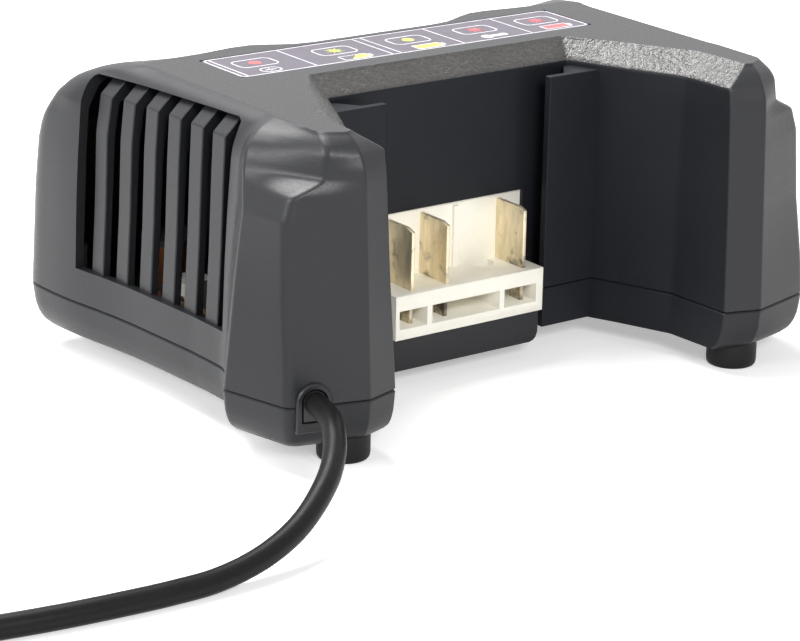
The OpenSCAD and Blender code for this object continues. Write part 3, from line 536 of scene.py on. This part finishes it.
def arc(a, b, c, r, n):
    u, v = (a - b), (c - b)
    lu, lv = u.length, v.length
    u, v = u.normalized(), v.normalized()
    half = math.acos(max(-1, min(1, u.dot(v)))) / 2
    t = min(r / max(math.tan(half), 1e-6), lu * 0.45, lv * 0.45)
    p, q = b + u * t, b + v * t
    return [(1 - s) ** 2 * p + 2 * s * (1 - s) * b + s * s * q for s in (i / (n - 1) for i in range(n))]


def with_mirrored_ends(xy):
    """The points, led by the first one's mirror image and followed by the last one's."""
    return [Vector((-xy[0].x, xy[0].y)), *xy, Vector((-xy[-1].x, xy[-1].y))]


def ring(half, k, z, inset=0.0):
    """The whole outline at a level, clockwise from above, and the corner that each point belongs to."""
    line = with_mirrored_ends([Vector(p) for p in half])
    if inset:
        moved = []
        for a, p, b in zip(line, line[1:], line[2:]):
            e1, e2 = (p - a).normalized(), (b - p).normalized()
            n1, n2 = Vector((e1.y, -e1.x)), Vector((e2.y, -e2.x))
            moved.append(p + inset * (n1 + n2) / (1 + n1.dot(n2)))
        line = with_mirrored_ends(moved)
    points, kinds = [], []
    for i, (a, p, b) in enumerate(zip(line, line[1:], line[2:])):
        radius, count = CORNERS[i]
        if i == REAR_CORNER and k > 71:  # this corner tightens towards the roof
            radius = 13 - 10 * (k - 71)
        radius = max(radius - inset, 0.5)
        piece = arc(a, p, b, radius, count)
        if points:
            last = points[-1]
            gap = piece[0] - last
            extra = STRAIGHTS[i]
            for j in range(1, extra + 1):
                points.append(last + gap * j / (extra + 1))
                kinds.append(i)
        points += piece
        kinds += [i] * count
    right = [(p.x, p.y, z) for p in points]
    return right + [(-x, y, z) for x, y, z in right[::-1]], kinds


def housing_mesh(name, rings, bay_from, lip_rows, materials):
    """A shell from rings that run along its inside to the seam and back along its outside.

    Faces get material 1 on the lip of the bay, 2 on the rest of the bay and 0 elsewhere.
    """
    n = len(rings[0])
    verts = [p for r in rings for p in r]
    faces, indices = [], []
    faces.append(tuple(range(n)))
    indices.append(0)
    faces.append(tuple(range((len(rings) - 1) * n, len(rings) * n))[::-1])
    indices.append(0)
    for j in range(len(rings) - 1):
        for i in range(n):
            faces.append((j * n + i, (j + 1) * n + i, (j + 1) * n + (i + 1) % n, j * n + (i + 1) % n))
            in_bay = bay_from <= i < n - bay_from - 1
            in_lip = in_bay and lip_rows[0] <= j < lip_rows[1]
            indices.append(1 if in_lip else 2 if in_bay else 0)
    mesh = mesh_from(name, verts, faces, indices)
    face_outward(mesh)
    return new_object(name, mesh, *materials)


def bay_start(half):
    kinds = ring(half, 0, 0)[1]
    return kinds.index(BAY_CORNER) + CORNERS[BAY_CORNER][1] - 1 + STRAIGHTS[BAY_CORNER]


def make_upper():
    hollow = [(70, 67.5), (66.5, 64), (60.3, 57.8), (50, 47.5), (0, 0)]
    rings = [ring(raw_half(k), k, SEAM + z, WALL)[0] for k, z in hollow]
    rings.append(ring(soft_half(0), 0, SEAM + 0.06, 0.45)[0])
    levels = [0.5, 1.5, 4, 9, 15, 22, 29, 31, 36, 41, 45, 48, 49.2, 50, 50.8, 52, 53.4, 54.8, 55.6, 56.2,
              56.8, 57.4, 58, 58.8, 59.6, 60.2, 60.8, 61.6, 62.4, 63, 63.8, 64.6, 65.4, 65.9, 66.3, 66.7,
              67.1, 67.6, 68.3, 69, 69.5, 70, 70.4, 70.8, 71, 71.25, 71.5, 71.75]
    first_lip = len(rings) + levels.index(66.3)
    rings += [ring(soft_half(k), k, SEAM + k)[0] for k in levels]
    rings.append(ring(soft_half(TOP_LEVEL, 0.5), TOP_LEVEL, TOP - 0.02)[0])
    start = bay_start(raw_half(0))
    obj = housing_mesh("housing_upper", rings, start, (first_lip, len(rings)), (HOUSING, LIP, SHADED_BAY_PLASTIC))
    opening = [(VENT_FRONT, 30), (42.05, 30), (42.05, 85.6), (41.7, 86.7), (40.6, 87.3), (-26.2, 89.2),
               (-28.2, 88.4), (VENT_FRONT, 86.4)]
    vent = prism(opening, VENT_X, VENT_X + 30, lambda u, v, w: (w, u, v))
    cut(
        obj,
        mirrored([vent]),
        [box(-63.05, 63.05, 1.3, 24.5, 90.9, 96)],
        [arch(3.5, 10, -8, 12)],
        [box(*BLOCK_CUT, 18.5, 48.4)],
    )
    smooth(obj.data, 28)
    weigh(obj)
    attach(obj, "root")
    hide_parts("upper_housing")


def make_louvres():
    parts = []
    for i in range(VANE_COUNT):
        y = VENT_FRONT + 4.75 + i * VANE_PITCH
        swell = 0.00152 * max(0, y + VANE_WIDE / 2 - FRONT_Y - 57.4) ** 2
        x = HALF_W - 9.3 + swell - 1.5
        head = 88.7 - 0.33 * swell
        outline = [
            (x, 29), (x - 1.2, 50), (x - 2, 71.5), (x - 2.6 - 0.3 * swell, 83.6 - 0.3 * swell),
            (VENT_X + 1.2 + 0.75 * swell, head), (VENT_X - 1, head), (VENT_X - 1, head - 2.4),
            (x - 6.5, 81.5 - 0.3 * swell), (x - 5, 71.5), (x - 2.6, 29),
        ]
        parts.append(prism(outline, y, y + VANE_WIDE, lambda u, v, w: (u, w, v)))
    obj = solid("louvres", mirrored(parts), 0.45, 3, 25, HOUSING)
    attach(obj, "root")


def make_rails():
    tip, front, thick = 29.3, BAY_BACK - 9.3, 2.5
    root = BAY_HALF - 10.9
    outline = [
        (tip, front), (root + 1.2, front), (root + 1.2, front + thick), (BAY_HALF - 13.3, BAY_BACK + 1),
        (BAY_HALF - 16, BAY_BACK + 1), (tip + 7, front + thick), (tip, front + thick),
    ]
    halves = [prism(outline, BOTTOM + 0.2, SEAM - 0.12, flat), prism(outline, SEAM + 0.12, SEAM + 64.8, flat)]
    obj = solid("rails", mirrored(halves), 0.35, 3, 30, SHADED_BAY_PLASTIC)
    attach(obj, "root")


def make_lower():
    pull = [(0, -1), (0, -1), (0, -1), (-0.8, -0.8), (-1, 0), (-1, 0), (-1, 0), (-1, 0), (-1, 0.3),
            (-0.75, 0.75), (-0.15, 1), (0, 1), (0, 0), (0, 0), (0, 0)]
    table = [(0, 0), (6, 0.7), (9, 1.7), (11.3, 3.2), (12.5, 5.4)]

    def low(k):
        d = sum(at(k + s, table) for s in (-0.8, -0.4, 0, 0.4, 0.8)) / 5
        return [(c[0] + p[0] * d, c[1] + p[1] * d) for c, p in zip(raw_half(0), pull)]

    rings = [ring(low(11.3), 0, BOTTOM + WALL, WALL)[0], ring(low(9), 0, BOTTOM + WALL + 2.3, WALL)[0]]
    rings.append(ring(low(0), 0, SEAM - 0.01, WALL)[0])
    rings.append(ring(low(0), 0, SEAM - 0.06, 0.45)[0])
    levels = [0.5, 1.5, 3, 4.5, 6, 7, 8, 8.8, 9.4, 10, 10.6, 11, 11.4, 11.8, 12.1, 12.35]
    rings += [ring(low(k), 0, SEAM - k)[0] for k in levels]
    rings.append(ring(low(12.5), 0, BOTTOM + 0.02, 0.25)[0])
    obj = housing_mesh("housing_lower", rings, bay_start(raw_half(0)), (0, 0), (HOUSING_LOW_SHADED, LIP, SHADED_BAY_PLASTIC))
    heads = [(73.3, -43.4), (71.8, -4.4), (82.8, 57.4)]
    wells = [round_solid(s * x, y, [(3.1, 5), (3.1, 10.6)]) for x, y in heads for s in (-1, 1)]
    cut(obj, [arch(3.5, 5.5, -8, 12)], [box(*BLOCK_CUT, 15.2, 21)], wells)
    smooth(obj.data, 28)
    weigh(obj)
    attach(obj, "root")
    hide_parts("lower_housing")


def make_platform():
    outline = [(-29, 15.2), (-29, 5.1), (21.5, 5.1), (22.8, 5.45), (23.9, 6.4), (24.5, 8.1), (24.5, 15.2)]
    body = prism(outline, -25.5, -9.6, lambda u, v, w: (u, w, v))
    obj = solid("terminal_platform", [body], 0.35, 2, 40, HOUSING_LOW_SHADED)
    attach(obj, "root")


def make_collar():
    outer = arch_outline(5.1, 8.6)
    inner = arch_outline(3.5, 5.5)
    n = len(outer)
    bands = ((outer, 1.5, 0), (outer, -0.7, 0), (outer, -1.2, -0.4), (inner, -1.2, 0.3), (inner, -0.8, 0),
             (inner, 1.5, 0))
    verts = []
    for outline, y, grow in bands:
        for u, v in outline:
            s = math.hypot(u, v)
            verts.append(at_entry(u * (1 + grow / s), y, v * (1 + grow / s)))
    faces = []
    for j in range(len(bands)):
        low, high = j * n, (j + 1) % len(bands) * n
        faces += [(low + i, low + (i + 1) % n, high + (i + 1) % n, high + i) for i in range(n)]
    obj = solid("entry_collar", [(verts, faces)], 0, 1, 30, HOUSING)
    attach(obj, "root")


def make_feet():
    profile = [(3.2, 0.5), (6.3, 0.05), (6.95, 0.2), (7.3, 0.7), (7.45, 1.6), (7.45, 6.2), (7.3, 6.9),
               (7.2, 7.6)]
    places = ((70.5, -60.5), (70.0, 50.0))
    parts = [round_solid(s * x, y, profile, 48) for x, y in places for s in (-1, 1)]
    obj = solid("foot_pads", parts, 0, 1, 40, RUBBER)
    smooth(obj.data, 40)
    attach(obj, "root")
    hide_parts("rubber_feet")


make_upper()
make_louvres()
make_rails()
make_lower()
make_platform()
make_collar()
make_feet()


# Label in the recess: dark ground, white lines and plain pictograms
LABEL_LOW = 91.36
LABEL_FACE = 91.4
LABEL_STEP = 0.02  # each level of ink lies this much higher
def ink(name, color, rough=0.4):
    n = Nodes(name)
    fine = n.noise(260, 3)
    stops = [(0.35, shade(color, 0.9)), (0.65, shade(color, 1.08))]
    n.link(n.ramp(fine, stops), n.shader.inputs["Base Color"])
    n.shader.inputs["Roughness"].default_value = rough
    n.link(n.bump(n.noise(900, 2), 0.15, 0.00002), n.shader.inputs["Normal"])
    return n.material


LABEL_INKS = [
    ink("label_ground", (0.078, 0.066, 0.092), 0.38),
    ink("label_white", (0.72, 0.70, 0.74)),
    ink("label_red", (0.72, 0.10, 0.11)),
    ink("label_green", (0.56, 0.66, 0.10)),
    ink("label_dark", (0.05, 0.045, 0.06)),
]


class Label:
    """The label's mesh, shape by shape; a kind is an index into LABEL_INKS."""

    def __init__(self):
        self.verts, self.faces, self.kinds = [], [], []

    def shape(self, outline, level, kind):
        v, f = prism(outline, LABEL_LOW, LABEL_FACE + LABEL_STEP * level, flat)
        base = len(self.verts)
        self.verts += v
        self.faces += [tuple(base + i for i in face) for face in f]
        self.kinds += [kind] * len(f)

    def frame(self, x0, x1, y0, y1, r, thick, kind=1, level=1):
        outer = self.rounded(x0, x1, y0, y1, r)
        inner = self.rounded(x0 + thick, x1 - thick, y0 + thick, y1 - thick, max(r - thick, 0.2))
        n = len(outer)
        for i in range(n):
            j = (i + 1) % n
            self.shape([outer[i], outer[j], inner[j], inner[i]], level, kind)

    @staticmethod
    def rounded(x0, x1, y0, y1, r, n=6):
        points = []
        centers = ((x1 - r, y1 - r, 0), (x0 + r, y1 - r, 90), (x0 + r, y0 + r, 180), (x1 - r, y0 + r, 270))
        for cx, cy, a0 in centers:
            for i in range(n + 1):
                a = math.radians(a0 + 90 * i / n)
                points.append((cx + r * math.cos(a), cy + r * math.sin(a)))
        return points

    def line(self, x0, y0, x1, y1, thick=0.45, kind=1):
        d = Vector((x1 - x0, y1 - y0)).normalized() * thick / 2
        outline = [(x0 - d.y, y0 + d.x), (x0 + d.y, y0 - d.x), (x1 + d.y, y1 - d.x), (x1 - d.y, y1 + d.x)]
        self.shape(outline, 1, kind)

    def dot(self, x, y, rx, ry, kind, level=2):
        turns = [2 * math.pi * i / 20 for i in range(20)]
        self.shape([(x + rx * math.cos(a), y + ry * math.sin(a)) for a in turns], level, kind)

    def star(self, x, y, r, kind):
        for i in range(8):
            a = math.pi * i / 8 * 2 + 0.2
            u, v = Vector((math.cos(a), math.sin(a))), Vector((-math.sin(a), math.cos(a)))
            c = Vector((x, y))
            self.shape([tuple(c + v * 0.5), tuple(c + u * r), tuple(c - v * 0.5)], 2, kind)
        self.dot(x, y, r * 0.34, r * 0.34, kind, 3)

    def battery(self, x, y, w, h, kind, share=1.0):
        self.shape(self.rounded(x - w / 2, x + w / 2, y - h / 2, y + h / 2, 0.5), 1, 1)
        self.shape(self.rounded(x + w / 2 - 0.1, x + w / 2 + 1.1, y - h / 4, y + h / 4, 0.3), 1, 1)
        if share < 1:
            hollow = self.rounded(x - w / 2 + 0.45, x + w / 2 - 0.45, y - h / 2 + 0.45, y + h / 2 - 0.45, 0.3)
            self.shape(hollow, 2, 0)
        left, right = x - w / 2 + 0.5, x + w / 2 - 0.5
        cut_at = left + (right - left) * share
        foot, head = (cut_at - 2, cut_at + 1.5) if share < 1 else (left, left)
        low, high = y - h / 2 + 0.5, y + h / 2 - 0.5
        self.shape([(foot, low), (right, low), (right, high), (head, high)], 3, kind)


def make_label():
    made = Label()
    made.shape(Label.rounded(-62.95, 62.95, 1.4, 24.4, 2.2), 0, 0)
    made.frame(-62.5, 62.5, 1.8, 24.0, 2.0, 0.5)
    made.line(-60.4, 2.1, -60.4, 23.7, 0.5)
    for x in (-37, -10.4, -7.4, 15.5, 41):
        made.line(x, 2.1, x, 23.7)
    lights = ((-50.4, 2, False), (-22.8, 3, True), (3.6, 3, False), (28.4, 2, True), (51.8, 2, True))
    for x, kind, star in lights:
        made.frame(x - 6.6, x + 6.6, 10.2, 18.6, 2.4, 0.5)
        if star:
            made.star(x, 14.4, 3.3, kind)
        else:
            made.dot(x, 14.4, 1.9, 1.9, kind)
    made.frame(-54.2, -47.4, 3.0, 8.0, 2.4, 0.45)
    made.line(-52.6, 5.5, -49.0, 5.5, 0.5)
    made.line(-51.0, 4.4, -51.0, 6.6, 0.5)
    made.battery(-21.8, 5.3, 9.6, 4.6, 3, 0.5)
    made.battery(4.4, 5.3, 9.6, 4.6, 3)
    made.battery(52.4, 5.6, 9.6, 4.6, 2)
    made.shape(Label.rounded(26.6, 33.0, 4.6, 6.6, 1.0), 1, 1)
    made.dot(26.4, 5.6, 1.9, 1.9, 1)
    made.dot(32.6, 5.6, 1.2, 1.4, 1)
    mesh = mesh_from("label_face", made.verts, made.faces, made.kinds)
    face_outward(mesh)
    obj = new_object("label_face", mesh, *LABEL_INKS)
    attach(obj, "root")
    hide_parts("indicator_label")


make_label()


# Terminal block and blades keep their solids, with softened edges
def soften(name, width, segments=2, angle=30):
    obj = nodes[name]
    weld = obj.modifiers.new("weld", "WELD")
    weld.merge_threshold = 0.000005
    bevel = obj.modifiers.new("bevel", "BEVEL")
    bevel.width = width * MM
    bevel.segments = segments
    bevel.limit_method = "ANGLE"
    bevel.angle_limit = math.radians(angle)
    bevel.harden_normals = True
    for f in obj.data.polygons:
        f.use_smooth = True


def dress(name, material):
    obj = nodes[name]
    obj.data.materials.clear()
    obj.data.materials.append(material)


def blade_material():
    n = Nodes("tinned_blade")
    base = (0.80, 0.70, 0.50)
    marks = n.noise(420, 4, 0.6, (1, 1, 0.25))
    # The blades turn dark in blotches, more so towards their lower end near the shelf
    blotches = n.noise(150, 4, 0.65)
    split = n.add("ShaderNodeSeparateXYZ")
    n.link(n.coords, split.inputs[0])
    low = n.add("ShaderNodeMapRange")
    n.link(split.outputs["Z"], low.inputs["Value"])
    low.inputs["From Min"].default_value = 0.026
    low.inputs["From Max"].default_value = 0.031
    low.inputs["To Min"].default_value = 0.2
    low.inputs["To Max"].default_value = 0.0
    dark = n.math("ADD", blotches, low.outputs[0])
    mix = n.add("ShaderNodeMix", data_type="RGBA")
    n.link(n.ramp(dark, [(0.56, (0, 0, 0)), (0.78, (1, 1, 1))]), mix.inputs["Factor"])
    n.link(n.ramp(marks, [(0.3, shade(base, 0.82)), (0.7, shade(base, 1.15))]), mix.inputs["A"])
    mix.inputs["B"].default_value = (0.09, 0.08, 0.065, 1)
    n.link(mix.outputs["Result"], n.shader.inputs["Base Color"])
    n.shader.inputs["Metallic"].default_value = 0.75
    n.link(n.math("ADD", n.math("MULTIPLY", marks, 0.3), 0.3), n.shader.inputs["Roughness"])
    n.link(n.bump(marks, 0.3, 0.00004), n.shader.inputs["Normal"])
    return n.material


BLADE = blade_material()
STEEL = metal("screw_steel", (0.52, 0.52, 0.54), 0.35)
PIN = metal("pin_nickel", (0.72, 0.72, 0.74), 0.22, (1, 1, 0.2))
ALUMINIUM = metal("heat_sink_anodised", (0.05, 0.05, 0.052), 0.5, (1, 1, 0.1))
COPPER = metal("enamelled_copper", (0.30, 0.11, 0.045), 0.45, (1, 1, 12), 500, 0.0001)

dress("terminal_block", IVORY)
soften("terminal_block", 0.3, 2)
for blade in ("blade_left", "blade_middle", "blade_right"):
    dress(blade, BLADE)
    soften(blade, 0.15, 2)


# Pieces inside the housing keep their solids
def inner_materials():
    board = moulded("circuit_board", (0.02, 0.05, 0.018), 0.35, 600, 0.00002, 0.3, 0.25)
    ferrite = moulded("ferrite", (0.035, 0.035, 0.037), 0.7, 1200, 0.00006, 0.5, 0.2)
    winding = moulded("winding_tape", (0.10, 0.07, 0.02), 0.5, 300, 0.00004, 0.3, 0.1)
    sleeve = moulded("capacitor_sleeve", (0.012, 0.014, 0.02), 0.4, 500, 0.00002, 0.2, 0.1)
    film = moulded("film_capacitor", (0.30, 0.22, 0.03), 0.5, 500, 0.00002, 0.2, 0.08)
    package = moulded("epoxy_package", (0.02, 0.02, 0.021), 0.5, 1200, 0.00004, 0.4, 0.2)
    white = moulded("white_nylon", (0.78, 0.77, 0.72), 0.45, 700, 0.00003, 0.25, 0.04)
    lead = moulded("lead_sleeve", (0.12, 0.07, 0.035), 0.4, 700, 0.00002, 0.3, 0.1)
    red = moulded("output_lead", (0.45, 0.03, 0.02), 0.4, 700, 0.00002, 0.3, 0.1)
    grey = moulded("ribbon_lead", (0.60, 0.58, 0.52), 0.45, 700, 0.00002, 0.3, 0.1)
    led = moulded("led_lens", (0.55, 0.04, 0.03), 0.2, 500, 0.00001, 0.1, 0.1)
    glass = metal("fuse_cap", (0.62, 0.63, 0.65), 0.25)
    return {
        "main_board": board, "indicator_board": board, "transformer_core": ferrite, "choke_core": ferrite,
        "transformer_winding": winding, "choke_winding": COPPER, "bulk_capacitor": sleeve,
        "output_capacitors": sleeve, "filter_capacitor": film, "primary_heat_sink": ALUMINIUM,
        "secondary_heat_sink": ALUMINIUM, "switching_transistor": package, "output_rectifier": package,
        "bridge_rectifier": package, "control_chip": package, "inlet_connector": white,
        "output_connector": white, "mains_leads": lead, "output_leads": red, "indicator_lead": grey,
        "indicator_leds": led, "fuse": glass, "housing_screws": STEEL, "block_screw": STEEL,
        "clamp_screws": STEEL, "board_screws": STEEL, "heat_sink_screws": STEEL, "indicator_screws": STEEL,
        "cord_clamp": PLUG, "inner_cable": CORD, "cord_bushing": BUSHING,
    }


for node_name, node_material in inner_materials().items():
    dress(node_name, node_material)


# Plug, its pins and the band round the coil
def at_plug(x, y, z):
    c, s = math.cos(PLUG_TURN), math.sin(PLUG_TURN)
    return (PLUG_PLACE[0] + c * x - s * y, PLUG_PLACE[1] + s * x + c * y, PLUG_PLACE[2] + z)


def make_plug():
    outline = [(-16.5, 34), (-17.5, 33), (-17.5, 18), (-9, 2), (-7, 0), (7, 0), (9, 2), (17.5, 18),
               (17.5, 33), (16.5, 34)]
    body = prism(outline, -6.75, 6.75, at_plug)
    groove = 0.45
    profile = []
    y, r = -RELIEF, 4.4
    while y < 0.6:
        profile += [(r, y), (r, y + 0.55), (r - groove, y + 0.6), (r - groove, y + 0.95)]
        y += 1.0
        r += 0.09
    profile = [(r, y) for r, y in profile if y <= 0.8]
    relief = lathe(profile, 32, lambda u, v, w: at_plug(u, w, v))
    obj = solid("plug", [body, relief], 0.25, 3, 35, PLUG)
    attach(obj, "root")
    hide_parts("plug_body")
    return obj


def make_pins():
    profile = [(2.0, 26), (2.0, 52), (1.85, 52.5), (1.4, 52.9), (0.9, 53)]
    parts = [lathe(profile, 28, lambda u, v, w: at_plug(x + u, w, v)) for x in (-9.3, 9.3)]
    obj = solid("pins", parts, 0, 1, 30, PIN)
    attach(obj, "root")
    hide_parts("plug_pins")
    return obj


plug = make_plug()
pins = make_pins()
dress("cord_tie", TIE)
soften("cord_tie", 0.2)


# Floor, world and lamps
FLOOR_GLOW = 0.42
SKY_LIGHT = 0.3
MIRRORED_SKY = 1.4


def make_stage():
    f = FLOOR_HALF
    mesh = mesh_from("floor", [(-f, -f, 0), (f, -f, 0), (f, f, 0), (-f, f, 0)], [(0, 1, 2, 3)])
    material = bpy.data.materials.new("pale_floor")
    material.use_nodes = True
    tree = material.node_tree
    out = tree.nodes["Material Output"]
    diffuse = tree.nodes["Principled BSDF"]
    diffuse.inputs["Base Color"].default_value = (0.85, 0.85, 0.85, 1)
    diffuse.inputs["Roughness"].default_value = 0.9
    diffuse.inputs["Specular IOR Level"].default_value = 0.1
    glow = tree.nodes.new("ShaderNodeEmission")
    add = tree.nodes.new("ShaderNodeAddShader")
    scaled = math_node(tree, "MULTIPLY", seen_by_eye(tree), FLOOR_GLOW)
    tree.links.new(scaled, glow.inputs["Strength"])
    tree.links.new(diffuse.outputs[0], add.inputs[0])
    tree.links.new(glow.outputs[0], add.inputs[1])
    tree.links.new(add.outputs[0], out.inputs["Surface"])
    floor = new_object("floor", mesh, material)


def seen_by_eye(tree):
    """1 for camera, glossy and transmission rays."""
    path = tree.nodes.new("ShaderNodeLightPath").outputs
    first = math_node(tree, "MAXIMUM", path["Is Camera Ray"], path["Is Glossy Ray"])
    return math_node(tree, "MAXIMUM", first, path["Is Transmission Ray"])


def make_world():
    """White to the camera, dimmer as light, and brighter than white to glossy rays."""
    world = bpy.data.worlds.new("studio")
    bpy.context.scene.world = world
    world.use_nodes = True
    tree = world.node_tree
    background = tree.nodes["Background"]
    background.inputs["Color"].default_value = (1, 1, 1, 1)
    seen = seen_by_eye(tree)
    strength = tree.nodes.new("ShaderNodeMapRange")
    strength.inputs["To Min"].default_value = SKY_LIGHT
    strength.inputs["To Max"].default_value = 1.0
    tree.links.new(seen, strength.inputs["Value"])
    path = tree.nodes.new("ShaderNodeLightPath").outputs
    mirrored_sky = math_node(tree, "MULTIPLY", path["Is Glossy Ray"], MIRRORED_SKY)
    brighter = math_node(tree, "MAXIMUM", strength.outputs[0], mirrored_sky)
    tree.links.new(brighter, background.inputs["Strength"])


def lamp(name, place, target, size, power):
    data = bpy.data.lights.new(name, "AREA")
    data.shape = "RECTANGLE"
    data.size, data.size_y = size
    data.energy = power
    obj = bpy.data.objects.new(name, data)
    bpy.context.scene.collection.objects.link(obj)
    obj.location = place
    obj.rotation_mode = "QUATERNION"
    obj.rotation_quaternion = (Vector(target) - Vector(place)).to_track_quat("-Z", "Y")


make_stage()
make_world()
lamp("top_soft", (-0.15, 0.55, 1.2), (0, 0, 0.05), (0.8, 0.7), 27)
lamp("left_soft", (-1.3, 0.1, 0.7), (-0.05, 0, 0.05), (0.6, 0.5), 11)
lamp("front_soft", (-0.5, -1.4, 0.9), (0, -0.05, 0.04), (0.5, 0.4), 15)

bpy.context.scene.view_settings.view_transform = "Standard"
